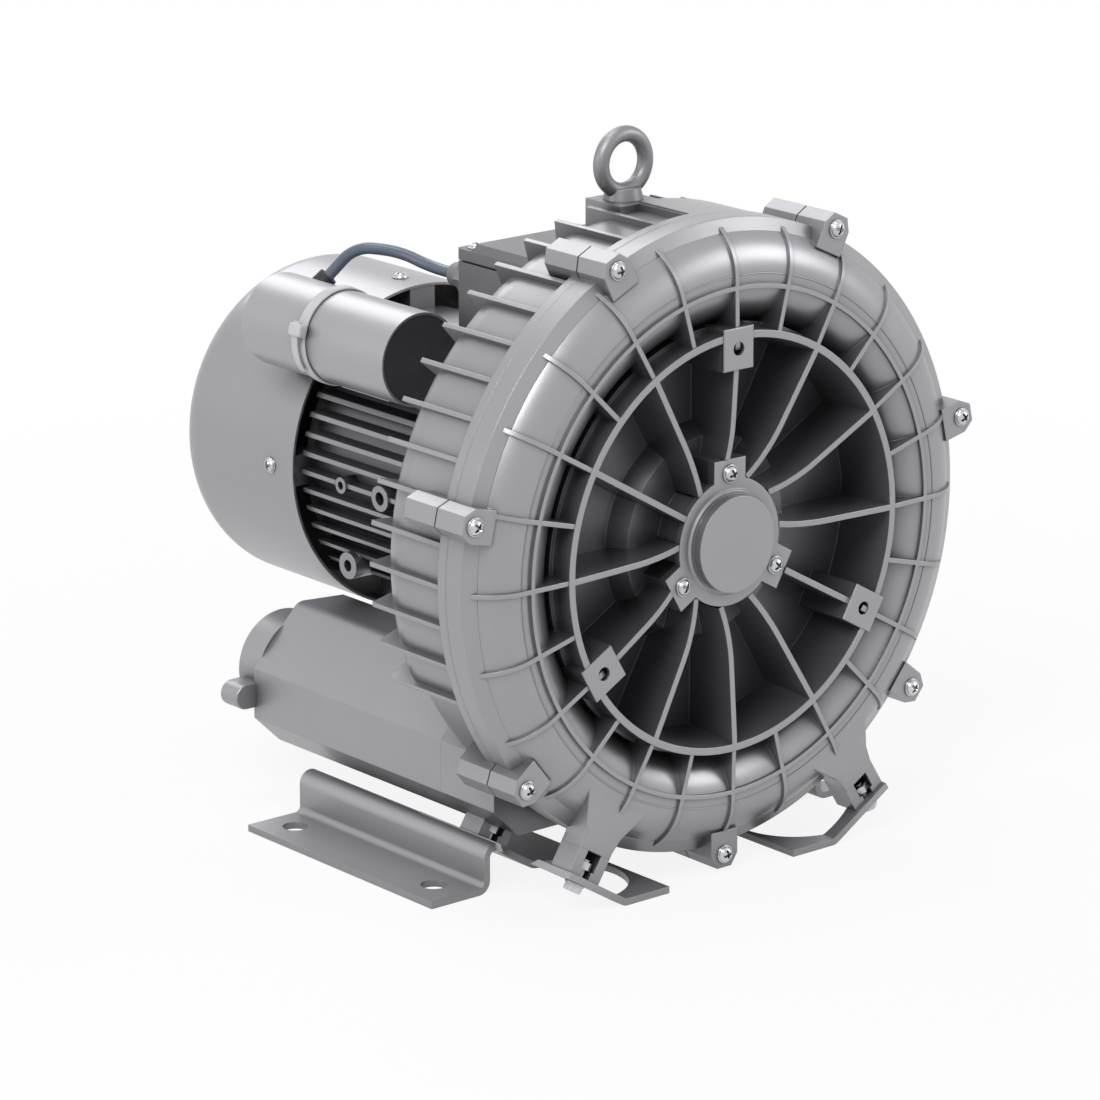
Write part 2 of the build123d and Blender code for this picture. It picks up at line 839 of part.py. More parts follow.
# Shaft, stepped for the front bearing, impeller, rotor, rear bearing and fan
rear_bearing_back = rear_bearing_depth + bearing_width
with BuildPart() as shaft:
    with BuildSketch(lathe):
        with BuildLine():
            Polyline(
                (0, shaft_front),
                (bearing_bore_r, shaft_front),
                (bearing_bore_r, impeller_seat_front),
                (impeller_seat_r, impeller_seat_front),
                (impeller_seat_r, impeller_seat_back),
                (shaft_r, impeller_seat_back),
                (shaft_r, rear_bearing_depth),
                (bearing_bore_r, rear_bearing_depth),
                (bearing_bore_r, rear_bearing_back),
                (fan_seat_r, rear_bearing_back),
                (fan_seat_r, shaft_back),
                (0, shaft_back),
                (0, shaft_front),
            )
        make_face()
    revolve(axis=shaft_axis)
    with BuildSketch(Plane.XY.offset(axis_height + impeller_seat_r - key_sunk)):
        with Locations((0, cover_face_y + (impeller_seat_front + impeller_seat_back) / 2)):
            SlotOverall(key_length, key_width, rotation=90)
    extrude(amount=key_sunk + bite, mode=Mode.SUBTRACT)
    with BuildSketch(across(shaft_front)):
        Circle(end_screw_r + thread_gap)
    extrude(amount=-(end_screw_length + bite), mode=Mode.SUBTRACT)
shaft.part.label = "shaft"
export_step(shaft.part, "parts/shaft.step")

with BuildPart() as impeller_key:
    with BuildSketch(Plane.XY.offset(axis_height + impeller_seat_r - key_sunk)):
        with Locations((0, cover_face_y + (impeller_seat_front + impeller_seat_back) / 2)):
            SlotOverall(key_length - 2 * seat_gap, key_width - 2 * seat_gap, rotation=90)
    extrude(amount=key_height)
impeller_key.part.label = "impeller_key"
export_step(impeller_key.part, "parts/impeller_key.step")

# Spacer between the impeller hub and the front bearing
with BuildPart() as spacer_sleeve:
    with BuildSketch(across(impeller_seat_front)):
        Circle(spacer_outer_r)
        Circle(bearing_bore_r + seat_gap, mode=Mode.SUBTRACT)
    extrude(amount=impeller_seat_front - bearing_seat_back)
spacer_sleeve.part.label = "spacer_sleeve"
export_step(spacer_sleeve.part, "parts/spacer_sleeve.step")

# Washer and screw at the front end of the shaft
with BuildPart() as shaft_end_washer:
    with BuildSketch(across(shaft_front)):
        Circle(end_washer_r)
        Circle(end_screw_r + thread_gap, mode=Mode.SUBTRACT)
    extrude(amount=end_washer_thickness)
    with BuildSketch(across(front_bearing_depth)):
        Circle(end_washer_r)
        Circle(bearing_bore_r + seat_gap, mode=Mode.SUBTRACT)
    extrude(amount=front_bearing_depth - shaft_front)
shaft_end_washer.part.label = "shaft_end_washer"
export_step(shaft_end_washer.part, "parts/shaft_end_washer.step")

with BuildPart() as shaft_end_screw:
    with BuildSketch(across(shaft_front - end_washer_thickness)):
        RegularPolygon(end_screw_head_r, 6, major_radius=False)
    extrude(amount=end_screw_head_height)
    with BuildSketch(across(shaft_front - end_washer_thickness)):
        Circle(end_screw_r)
    extrude(amount=-(end_washer_thickness + end_screw_length))
shaft_end_screw.part.label = "shaft_end_screw"
export_step(shaft_end_screw.part, "parts/shaft_end_screw.step")

# Impeller with blades open to both sides of the rim
impeller_front = housing_front + running_gap
impeller_back = web_front - running_gap
rim_inner_r = impeller_rim_r
rim_face_r = impeller_rim_r + impeller_rim_wall
impeller_middle = (impeller_front + impeller_back) / 2
with BuildPart() as impeller:
    with BuildSketch(lathe):
        with BuildLine():
            front_point = (rim_face_r, impeller_front)
            tip_front = (impeller_r, impeller_middle - divider_thickness / 2)
            tip_back = (impeller_r, impeller_middle + divider_thickness / 2)
            back_point = (rim_face_r, impeller_back)
            RadiusArc(front_point, tip_front, blade_hollow_r)
            Line(tip_front, tip_back)
            RadiusArc(tip_back, back_point, blade_hollow_r)
            Polyline(
                back_point,
                (rim_inner_r, impeller_back),
                (rim_inner_r, impeller_web_front + impeller_web_wall),
                (impeller_hub_r, impeller_web_front + impeller_web_wall),
                (impeller_hub_r, impeller_seat_back),
                (impeller_seat_r + seat_gap, impeller_seat_back),
                (impeller_seat_r + seat_gap, impeller_seat_front),
                (impeller_hub_r, impeller_seat_front),
                (impeller_hub_r, impeller_web_front),
                (rim_inner_r, impeller_web_front),
                (rim_inner_r, impeller_front),
                front_point,
            )
        make_face()
    revolve(axis=shaft_axis)
    for i in range(blade_count):
        with BuildSketch(radial(i * 360 / blade_count)):
            with Locations(((rim_face_r - bite + impeller_r) / 2, impeller_middle)):
                Rectangle(impeller_r - rim_face_r + bite, impeller_back - impeller_front)
    extrude(amount=blade_thickness / 2, both=True)
    with BuildSketch(Plane.XY.offset(axis_height)):
        with Locations((0, cover_face_y + impeller_middle)):
            Rectangle(key_width, 2 * (impeller_back - impeller_front))
    extrude(amount=impeller_seat_r - key_sunk + key_height + seat_gap, mode=Mode.SUBTRACT)
impeller.part.label = "impeller"
export_step(impeller.part, "parts/impeller.step")

# Bearings: the sealed outer ring stays with its seat, and the inner ring turns with the shaft
with BuildPart() as front_bearing_outer:
    with BuildSketch(across(front_bearing_depth + bearing_width)):
        Circle(bearing_outer_r)
        Circle(bearing_shield_r + thread_gap, mode=Mode.SUBTRACT)
    extrude(amount=bearing_width)
front_bearing_outer.part.label = "front_bearing_outer"
export_step(front_bearing_outer.part, "parts/front_bearing_outer.step")

with BuildPart() as front_bearing_inner:
    with BuildSketch(across(front_bearing_depth + bearing_width)):
        Circle(bearing_shield_r)
        Circle(bearing_bore_r + seat_gap, mode=Mode.SUBTRACT)
    extrude(amount=bearing_width)
front_bearing_inner.part.label = "front_bearing_inner"
export_step(front_bearing_inner.part, "parts/front_bearing_inner.step")

with BuildPart() as rear_bearing_outer:
    with BuildSketch(across(rear_bearing_back)):
        Circle(bearing_outer_r)
        Circle(bearing_shield_r + thread_gap, mode=Mode.SUBTRACT)
    extrude(amount=bearing_width)
rear_bearing_outer.part.label = "rear_bearing_outer"
export_step(rear_bearing_outer.part, "parts/rear_bearing_outer.step")

with BuildPart() as rear_bearing_inner:
    with BuildSketch(across(rear_bearing_back)):
        Circle(bearing_shield_r)
        Circle(bearing_bore_r + seat_gap, mode=Mode.SUBTRACT)
    extrude(amount=bearing_width)
rear_bearing_inner.part.label = "rear_bearing_inner"
export_step(rear_bearing_inner.part, "parts/rear_bearing_inner.step")

# Rotor and stator of the motor
with BuildPart() as motor_rotor:
    with BuildSketch(across(rotor_back)):
        Circle(rotor_r)
        Circle(shaft_r + seat_gap, mode=Mode.SUBTRACT)
    extrude(amount=rotor_back - rotor_front)
motor_rotor.part.label = "motor_rotor"
export_step(motor_rotor.part, "parts/motor_rotor.step")

with BuildPart() as stator_core:
    with BuildSketch(across(rotor_back)):
        Circle(stator_r - seat_gap)
        Circle(rotor_r + running_gap, mode=Mode.SUBTRACT)
    extrude(amount=rotor_back - rotor_front)
stator_core.part.label = "stator_core"
export_step(stator_core.part, "parts/stator_core.step")

with BuildPart() as stator_coils:
    with BuildSketch(lathe):
        for middle in (rotor_front - coil_overhang / 2, rotor_back + coil_overhang / 2):
            with Locations(((coil_inner_r + coil_outer_r) / 2, middle)):
                RectangleRounded(coil_outer_r - coil_inner_r, coil_overhang, coil_round)
    revolve(axis=shaft_axis)
stator_coils.part.label = "stator_coils"
export_step(stator_coils.part, "parts/stator_coils.step")

# Motor frame: a finned barrel with a platform for the terminal box
frame_bosses = (
    (201.0, -0.4, 4.2, 2.1, 31.0),
    (169.0, -0.5, 6.6, 3.4, 31.0),
    (205.0, -44.6, 7.0, 3.0, 24.0),
)
boss_hole_bottom_x = -69.0
boss_root_x = -50.0
saddle_outer_r = capacitor_r + thread_gap + saddle_thickness
capacitor_reach = sqrt(capacitor_x**2 + capacitor_z**2)
capacitor_angle = degrees(atan2(capacitor_z, capacitor_x))
pad_top_r = capacitor_reach - saddle_outer_r + bite
with BuildPart() as motor_frame:
    with BuildSketch(across(barrel_back)):
        Circle(barrel_r)
    extrude(amount=barrel_back - barrel_front)
    with BuildSketch(across(motor_fin_back)):
        with GridLocations(1, motor_fin_pitch, 1, side_fin_count):
            Rectangle(2 * motor_fin_r, motor_fin_thickness)
        with Locations((0, -motor_fin_r / 2)):
            with GridLocations(motor_fin_pitch, 1, bottom_fin_count, 1):
                Rectangle(motor_fin_thickness, motor_fin_r)
        Circle(motor_fin_r, mode=Mode.INTERSECT)
    extrude(amount=motor_fin_back - motor_fin_front)
    with BuildSketch(across(box_back)):
        with Locations((0, (box_bottom + stator_r) / 2)):
            Rectangle(platform_width, box_bottom - stator_r)
    extrude(amount=box_back - box_front)
    # Flange against the housing, and plain bosses along the left side
    with BuildSketch(across(barrel_front + motor_flange_thickness)):
        Circle(motor_flange_r)
    extrude(amount=motor_flange_thickness)
    for depth, height, outer_r, hole_r, length in frame_bosses:
        root = (boss_root_x, cover_face_y + depth, axis_height + height)
        with BuildSketch(Plane(origin=root, z_dir=(-1, 0, 0))):
            Circle(outer_r)
        extrude(amount=length)
    # Hollowed pad that the saddle of the capacitor lies on
    with BuildSketch(across(saddle_back - saddle_pad_inset)):
        pad_middle = around(capacitor_angle, (stator_r + pad_top_r) / 2)
        with Locations(Location((*pad_middle, 0), (0, 0, capacitor_angle))):
            Rectangle(pad_top_r - stator_r, saddle_pad_width)
        with Locations((capacitor_x, capacitor_z)):
            Circle(saddle_outer_r + seat_gap, mode=Mode.SUBTRACT)
    extrude(amount=saddle_back - saddle_front - 2 * saddle_pad_inset)
    with BuildSketch(across(barrel_back)):
        Circle(stator_r)
    extrude(amount=barrel_back - barrel_front, mode=Mode.SUBTRACT)
    for depth, height, outer_r, hole_r, length in frame_bosses:
        bottom = (boss_hole_bottom_x, cover_face_y + depth, axis_height + height)
        with BuildSketch(Plane(origin=bottom, z_dir=(-1, 0, 0))):
            Circle(hole_r)
        extrude(amount=length, mode=Mode.SUBTRACT)
    with BuildSketch(across(barrel_front + motor_flange_thickness)):
        with PolarLocations(motor_screw_circle, motor_screw_count, start_angle=45):
            Circle(screw_r + thread_gap)
    extrude(amount=motor_flange_thickness, mode=Mode.SUBTRACT)
motor_frame.part.label = "motor_frame"
export_step(motor_frame.part, "parts/motor_frame.step")

# Flange screws between the motor frame and the housing
with BuildPart() as motor_screws:
    with BuildSketch(across(barrel_front + motor_flange_thickness)):
        with PolarLocations(motor_screw_circle, motor_screw_count, start_angle=45):
            RegularPolygon(hex_flats / 2, 6, major_radius=False)
    extrude(amount=-bolt_head_height)
    with BuildSketch(across(barrel_front + motor_flange_thickness)):
        with PolarLocations(motor_screw_circle, motor_screw_count, start_angle=45):
            Circle(screw_r)
    extrude(amount=barrel_front + motor_flange_thickness - web_back - bite)
motor_screws.part.label = "motor_screws"
export_step(motor_screws.part, "parts/motor_screws.step")

# Rear end shield with the rear bearing seat and four ears for the cowl
ear_angles = (0, 90, 180, 270)
ear_top_r = cowl_r - cowl_wall - seat_gap
shield_front = rear_bearing_depth - shield_spigot_length
cowl_inner_r = cowl_r - cowl_wall
with BuildPart() as rear_shield:
    with BuildSketch(lathe):
        with BuildLine():
            Polyline(
                (shaft_r + running_gap, shield_front),
                (shield_spigot_r, shield_front),
                (shield_spigot_r, barrel_back),
                (barrel_r, barrel_back),
                (barrel_r, barrel_back + shield_wall),
                (bearing_outer_r + bearing_collar, barrel_back + shield_wall + bearing_collar),
                (bearing_outer_r + bearing_collar, rear_bearing_back),
                (bearing_outer_r + seat_gap, rear_bearing_back),
                (bearing_outer_r + seat_gap, rear_bearing_depth),
                (shaft_r + running_gap, rear_bearing_depth),
                (shaft_r + running_gap, shield_front),
            )
        make_face()
    revolve(axis=shaft_axis)
    with BuildSketch(across(shield_back)):
        for angle in ear_angles:
            ear_middle = around(angle, ear_top_r - shield_ear_height / 2)
            with Locations(Location((*ear_middle, 0), (0, 0, angle - 90))):
                Rectangle(shield_ear_width, shield_ear_height)
        Circle(ear_top_r, mode=Mode.INTERSECT)
    extrude(amount=shield_back - barrel_back)
    for angle in ear_angles:
        with BuildSketch(foot_plane(angle, cowl_inner_r, cowl_screw_depth)):
            Circle(screw_r + thread_gap)
        extrude(amount=-cap_screw_length, mode=Mode.SUBTRACT)
rear_shield.part.label = "rear_shield"
export_step(rear_shield.part, "parts/rear_shield.step")

# Cooling fan on the tail of the shaft
with BuildPart() as cooling_fan:
    with BuildSketch(across(fan_back)):
        Circle(fan_hub_r)
    extrude(amount=fan_back - fan_front)
    with BuildSketch(across(fan_front + fan_disc_thickness)):
        Circle(fan_r)
    extrude(amount=fan_disc_thickness)
    with BuildSketch(across(fan_back)):
        with PolarLocations((fan_hub_r - bite + fan_r) / 2, fan_blade_count):
            Rectangle(fan_r - fan_hub_r + bite, fan_blade_thickness)
    extrude(amount=fan_back - fan_front)
    with BuildSketch(across(fan_back)):
        Circle(fan_seat_r + seat_gap)
    extrude(amount=fan_back - fan_front, mode=Mode.SUBTRACT)
cooling_fan.part.label = "cooling_fan"
export_step(cooling_fan.part, "parts/cooling_fan.step")

with BuildPart() as fan_ring:
    with BuildSketch(across(fan_back + fan_ring_thickness)):
        Circle(fan_seat_r + fan_ring_width)
        Circle(fan_seat_r + seat_gap, mode=Mode.SUBTRACT)
    extrude(amount=fan_ring_thickness)
fan_ring.part.label = "fan_ring"
export_step(fan_ring.part, "parts/fan_ring.step")

# Fan cowl: a deep cup with an air inlet at its rear, hollowed where the capacitor lies in it
with BuildPart() as fan_cowl:
    with BuildSketch(lathe):
        with BuildLine():
            outer_turn = cowl_r - cowl_round
            inner_round = cowl_round - cowl_wall
            Polyline((cowl_inner_r, cowl_front), (cowl_r, cowl_front), (cowl_r, cowl_back - cowl_round))
            RadiusArc((cowl_r, cowl_back - cowl_round), (outer_turn, cowl_back), -cowl_round)
            Polyline(
                (outer_turn, cowl_back),
                (0, cowl_back),
                (0, cowl_back - cowl_wall),
                (outer_turn, cowl_back - cowl_wall),
            )
            RadiusArc((outer_turn, cowl_back - cowl_wall), (cowl_inner_r, cowl_back - cowl_round), inner_round)
            Line((cowl_inner_r, cowl_back - cowl_round), (cowl_inner_r, cowl_front))
        make_face()
    revolve(axis=shaft_axis)
    with BuildSketch(across(cowl_back)):
        with PolarLocations((cowl_slot_inner_r + cowl_slot_outer_r) / 2, cowl_slot_count):
            SlotOverall(cowl_slot_outer_r - cowl_slot_inner_r, cowl_slot_width)
    extrude(amount=2 * cowl_wall, mode=Mode.SUBTRACT)
    with BuildSketch(across(capacitor_back + cowl_notch_gap)):
        with Locations((capacitor_x, capacitor_z)):
            Circle(capacitor_r + cowl_notch_gap)
    extrude(amount=capacitor_back - cowl_front + bite, mode=Mode.SUBTRACT)
    for angle in ear_angles:
        with BuildSketch(foot_plane(angle, cowl_r, cowl_screw_depth)):
            Circle(screw_r + thread_gap)
        extrude(amount=-2 * cowl_wall, mode=Mode.SUBTRACT)
fan_cowl.part.label = "fan_cowl"
export_step(fan_cowl.part, "parts/fan_cowl.step")

with BuildPart() as cowl_screws:
    for angle in ear_angles:
        with BuildSketch(foot_plane(angle, cowl_r, cowl_screw_depth)):
            Circle(cowl_screw_head_r)
        extrude(amount=cowl_screw_head_height)
        with BuildSketch(foot_plane(angle, cowl_r, cowl_screw_depth)):
            Circle(screw_r)
        extrude(amount=-cowl_screw_length)
cowl_screws.part.label = "cowl_screws"
export_step(cowl_screws.part, "parts/cowl_screws.step")

# Run capacitor, its end cap, the saddle that carries it and the strap that holds it
with BuildPart() as capacitor:
    with BuildSketch(across(capacitor_back)):
        with Locations((capacitor_x, capacitor_z)):
            Circle(capacitor_r)
    extrude(amount=capacitor_back - capacitor_front)
    fillet(capacitor.faces().sort_by(Axis.Y)[-1].edges(), radius=capacitor_round)
    with BuildSketch(across(capacitor_front)):
        with Locations((capacitor_x, capacitor_z)):
            Circle(capacitor_r - capacitor_cap_lip)
    extrude(amount=-capacitor_cap_length, mode=Mode.SUBTRACT)
capacitor.part.label = "capacitor"
export_step(capacitor.part, "parts/capacitor.step")

with BuildPart() as capacitor_end:
    with BuildSketch(across(capacitor_front + capacitor_cap_length)):
        with Locations((capacitor_x, capacitor_z)):
            Circle(capacitor_r - capacitor_cap_lip - seat_gap)
    extrude(amount=capacitor_cap_length - capacitor_cap_sunk)
capacitor_end.part.label = "capacitor_end"
export_step(capacitor_end.part, "parts/capacitor_end.step")

saddle_angle = capacitor_angle + 180
sector_reach = 2 * capacitor_r
sector_angles = (saddle_angle - saddle_half_angle, saddle_angle, saddle_angle + saddle_half_angle)
sector_corners = [
    (capacitor_x + around(angle, sector_reach)[0], capacitor_z + around(angle, sector_reach)[1])
    for angle in sector_angles
]
with BuildPart() as capacitor_saddle:
    with BuildSketch(across(saddle_back)):
        with Locations((capacitor_x, capacitor_z)):
            Circle(saddle_outer_r)
            Circle(capacitor_r + thread_gap, mode=Mode.SUBTRACT)
        with BuildLine():
            Polyline((capacitor_x, capacitor_z), *sector_corners, close=True)
        make_face(mode=Mode.INTERSECT)
    extrude(amount=saddle_back - saddle_front)
    with BuildSketch(across(strap_depth + strap_width / 2 + strap_slot_gap)):
        with Locations((capacitor_x, capacitor_z)):
            Circle(saddle_outer_r + bite)
    extrude(amount=strap_width + 2 * strap_slot_gap, mode=Mode.SUBTRACT)
capacitor_saddle.part.label = "capacitor_saddle"
export_step(capacitor_saddle.part, "parts/capacitor_saddle.step")

with BuildPart() as capacitor_strap:
    with BuildSketch(across(strap_depth + strap_width / 2)):
        with Locations((capacitor_x, capacitor_z)):
            Circle(capacitor_r + thread_gap + strap_thickness)
            Circle(capacitor_r + thread_gap, mode=Mode.SUBTRACT)
    extrude(amount=strap_width)
capacitor_strap.part.label = "capacitor_strap"
export_step(capacitor_strap.part, "parts/capacitor_strap.step")

# Terminal box, gasket, lid, screws, glands and the lead from the capacitor
box_length = box_back - box_front
box_middle_y = cover_face_y + (box_front + box_back) / 2
box_floor = Plane.XY.offset(axis_height + box_bottom)
box_rim = Plane.XY.offset(axis_height + box_top)
lid_base = Plane.XY.offset(axis_height + box_top + lid_gasket_thickness)
lid_screw_x = box_width - 2 * lid_screw_inset
lid_screw_y = box_length - 2 * lid_screw_inset
with BuildPart() as terminal_box:
    with BuildSketch(box_floor):
        with Locations((0, box_middle_y)):
            RectangleRounded(box_width, box_length, box_corner_r)
    extrude(amount=box_top - box_bottom)
    with BuildSketch(Plane.XY.offset(axis_height + box_bottom + box_wall)):
        with Locations((0, box_middle_y)):
            Rectangle(box_width - 2 * box_wall, box_length - 4 * lid_screw_inset)
            Rectangle(box_width - 4 * lid_screw_inset, box_length - 2 * box_wall)
    extrude(amount=box_top - box_bottom, mode=Mode.SUBTRACT)
    with BuildSketch(box_rim):
        with Locations((0, box_middle_y)):
            with GridLocations(lid_screw_x, lid_screw_y, 2, 2):
                Circle(lid_screw_r + thread_gap)
    extrude(amount=-box_screw_depth, mode=Mode.SUBTRACT)
    with BuildSketch(across(box_back)):
        with Locations((gland_x, gland_z)):
            Circle(gland_r - gland_neck_step + thread_gap)
        with Locations((supply_gland_x, (box_bottom + box_top) / 2)):
            Circle(supply_gland_r - gland_neck_step + thread_gap)
    extrude(amount=2 * box_wall, mode=Mode.SUBTRACT)
terminal_box.part.label = "terminal_box"
export_step(terminal_box.part, "parts/terminal_box.step")

with BuildPart() as lid_gasket:
    with BuildSketch(box_rim):
        with Locations((0, box_middle_y)):
            RectangleRounded(box_width - box_wall, box_length - box_wall, box_corner_r)
            Rectangle(box_width - 4 * box_wall, box_length - 4 * lid_screw_inset, mode=Mode.SUBTRACT)
            with GridLocations(lid_screw_x, lid_screw_y, 2, 2):
                Circle(lid_screw_r + thread_gap, mode=Mode.SUBTRACT)
    extrude(amount=lid_gasket_thickness)
lid_gasket.part.label = "lid_gasket"
export_step(lid_gasket.part, "parts/lid_gasket.step")

with BuildPart() as terminal_lid:
    with BuildSketch(lid_base):
        with Locations((0, box_middle_y)):
            RectangleRounded(box_width, box_length, box_corner_r)
    extrude(amount=lid_thickness)
    with BuildSketch(lid_base.offset(lid_thickness)):
        with Locations((0, box_middle_y)):
            Rectangle(box_width, box_length - 2 * lid_inset)
    extrude(amount=lid_crown, taper=lid_taper)
    with BuildSketch(lid_base):
        with Locations((0, box_middle_y)):
            with GridLocations(lid_screw_x, lid_screw_y, 2, 2):
                Circle(lid_screw_r + thread_gap)
    extrude(amount=lid_thickness + lid_crown, mode=Mode.SUBTRACT)
    with BuildSketch(lid_base.offset(lid_thickness)):
        with Locations((0, box_middle_y)):
            with GridLocations(lid_screw_x, lid_screw_y, 2, 2):
                Circle(lid_head_pocket_r)
    extrude(amount=lid_crown, mode=Mode.SUBTRACT)
terminal_lid.part.label = "terminal_lid"
export_step(terminal_lid.part, "parts/terminal_lid.step")

with BuildPart() as lid_screws:
    with BuildSketch(lid_base.offset(lid_thickness)):
        with Locations((0, box_middle_y)):
            with GridLocations(lid_screw_x, lid_screw_y, 2, 2):
                Circle(lid_screw_head_r)
    extrude(amount=lid_screw_head_height)
    with BuildSketch(lid_base.offset(lid_thickness)):
        with Locations((0, box_middle_y)):
            with GridLocations(lid_screw_x, lid_screw_y, 2, 2):
                Circle(lid_screw_r)
    extrude(amount=-lid_screw_length)
lid_screws.part.label = "lid_screws"
export_step(lid_screws.part, "parts/lid_screws.step")

with BuildPart() as terminal_block:
    with BuildSketch(Plane.XY.offset(axis_height + box_bottom + box_wall)):
        with Locations((0, box_middle_y)):
            Rectangle(block_width, block_length)
    extrude(amount=block_height)
    with BuildSketch(Plane.XY.offset(axis_height + box_bottom + box_wall + block_height)):
        with Locations((0, box_middle_y)):
            with GridLocations(terminal_spacing_x, terminal_spacing_y, 3, 2):
                Circle(terminal_r)
    extrude(amount=terminal_height)
terminal_block.part.label = "terminal_block"
export_step(terminal_block.part, "parts/terminal_block.step")

with BuildPart() as capacitor_gland:
    with BuildSketch(across(box_back)):
        with Locations((gland_x, gland_z)):
            RegularPolygon(gland_r, 6, major_radius=False)
    extrude(amount=-gland_length / 2)
    with BuildSketch(across(box_back + gland_length)):
        with Locations((gland_x, gland_z)):
            Circle(gland_r - gland_nut_step)
    extrude(amount=gland_length / 2)
    with BuildSketch(across(box_back)):
        with Locations((gland_x, gland_z)):
            Circle(gland_r - gland_neck_step)
    extrude(amount=box_wall)
    with BuildSketch(across(box_back + gland_length)):
        with Locations((gland_x, gland_z)):
            Circle(cable_r + thread_gap)
    extrude(amount=gland_cable_depth, mode=Mode.SUBTRACT)
capacitor_gland.part.label = "capacitor_gland"
export_step(capacitor_gland.part, "parts/capacitor_gland.step")

supply_z = (box_bottom + box_top) / 2
with BuildPart() as supply_gland:
    with BuildSketch(across(box_back)):
        with Locations((supply_gland_x, supply_z)):
            RegularPolygon(supply_gland_r, 6, major_radius=False)
    extrude(amount=-supply_gland_length / 2)
    with BuildSketch(across(box_back + supply_gland_length)):
        with Locations((supply_gland_x, supply_z)):
            Circle(supply_gland_r - gland_nut_step)
    extrude(amount=supply_gland_length / 2)
    with BuildSketch(across(box_back)):
        with Locations((supply_gland_x, supply_z)):
            Circle(supply_gland_r - gland_neck_step)
    extrude(amount=box_wall)
    with BuildSketch(across(box_back + supply_gland_length)):
        with Locations((supply_gland_x, supply_z)):
            Circle(supply_bore_r)
    extrude(amount=supply_gland_length + box_wall, mode=Mode.SUBTRACT)
supply_gland.part.label = "supply_gland"
export_step(supply_gland.part, "parts/supply_gland.step")

# Route of the lead: from the gland on the box, over and down into the side of the capacitor
outlet_x = capacitor_x + around(cable_outlet_angle, cable_outlet_reach)[0]
outlet_z = capacitor_z + around(cable_outlet_angle, cable_outlet_reach)[1]
cable_start_depth = box_back + gland_length - gland_cable_depth + thread_gap
cable_points = [
    (gland_x, cable_start_depth, gland_z),
    (gland_x, 191, gland_z),
    (-33, 213, 111),
    (-46, 232, 112),
    (outlet_x, 240, outlet_z),
]
cable_path = [(x, cover_face_y + depth, axis_height + z) for x, depth, z in cable_points]


def corner_radius(before, corner, after):
    # As large as the two runs allow: 0.45 of the shorter run over the tangent of half the turn.
    first = Vector(*corner) - Vector(*before)
    second = Vector(*after) - Vector(*corner)
    half_turn = radians(first.get_angle(second) / 2)
    return 0.45 * min(first.length, second.length) * cos(half_turn) / sin(half_turn)


cable_radii = [corner_radius(*cable_path[i - 1 : i + 2]) for i in range(1, len(cable_path) - 1)]
print("cable radii", [round(radius, 1) for radius in cable_radii])
with BuildPart() as capacitor_cable:
    with BuildLine():
        cable_line = FilletPolyline(*cable_path, radius=cable_radii)
    with BuildSketch(Plane(origin=cable_path[0], z_dir=cable_line % 0)):
        Circle(cable_r)
    sweep()
capacitor_cable.part.label = "capacitor_cable"
export_step(capacitor_cable.part, "parts/capacitor_cable.step")
cable_end = cable_line @ 1
cable_heading = cable_line % 1
cable_section = pi * cable_r**2
print("cable volume share", capacitor_cable.part.volume / (cable_section * cable_line.length))

# Grommet that holds the lead at the capacitor
with BuildPart() as cable_grommet:
    with BuildSketch(Plane(origin=cable_end, z_dir=cable_heading)):
        Circle(cable_r + grommet_wall)
    extrude(amount=grommet_length, taper=grommet_taper)
    with BuildSketch(across(capacitor_back)):
        with Locations((capacitor_x, capacitor_z)):
            Circle(capacitor_r + seat_gap)
    extrude(amount=capacitor_back - capacitor_front, mode=Mode.SUBTRACT)
cable_grommet.part.label = "cable_grommet"
export_step(cable_grommet.part, "parts/cable_grommet.step")

# Eyebolt
with BuildPart() as eyebolt:
    with BuildSketch(Plane.XY.offset(axis_height + eye_base_z)):
        with Locations((0, cover_face_y + eye_depth)):
            Circle(eye_collar_r)
    extrude(amount=eye_collar_height, taper=eye_collar_taper)
    eye_centre = (0, cover_face_y + eye_depth, axis_height + eye_base_z + eye_ring_r)
    ring_section_r = (eye_ring_r - eye_hole_r) / 2
    with BuildSketch(Plane(origin=eye_centre)):
        with Locations((eye_hole_r + ring_section_r, 0)):
            Circle(ring_section_r)
    revolve(axis=Axis(eye_centre, (0, 1, 0)))
    with BuildSketch(Plane.XY.offset(axis_height + eye_base_z)):
        with Locations((0, cover_face_y + eye_depth)):
            Circle(eye_stem_r)
    extrude(amount=-eye_stem_length)
eyebolt.part.label = "eyebolt"
export_step(eyebolt.part, "parts/eyebolt.step")

# Silencers under the motor, each a walled duct with a threaded port at its rear end
silencer_front = duct_back + seat_gap


def silencer(side):
    with BuildPart() as body:
        with BuildSketch(across(silencer_back)):
            with BuildLine():
                Polyline(*silencer_outline(side, 0), close=True)
            make_face()
        extrude(amount=silencer_back - silencer_front)
        long_edges = body.edges().filter_by(Axis.Y).group_by(Axis.Z)[-1]
        fillet(long_edges, radius=silencer_round)
        with BuildSketch(across(silencer_back + port_length)):
            with Locations((side * port_x, port_z)):
                Circle(port_collar_r)
        extrude(amount=port_length + bite)
        with BuildSketch(across(silencer_back - silencer_wall)):
            with BuildLine():
                Polyline(*silencer_outline(side, silencer_wall), close=True)
            make_face()
        extrude(amount=silencer_back - silencer_wall - silencer_front, mode=Mode.SUBTRACT)
        with BuildSketch(across(silencer_back + port_length)):
            with Locations((side * port_x, port_z)):
                Circle(port_bore_r)
        extrude(amount=port_length + 2 * silencer_wall, mode=Mode.SUBTRACT)
    return body.part


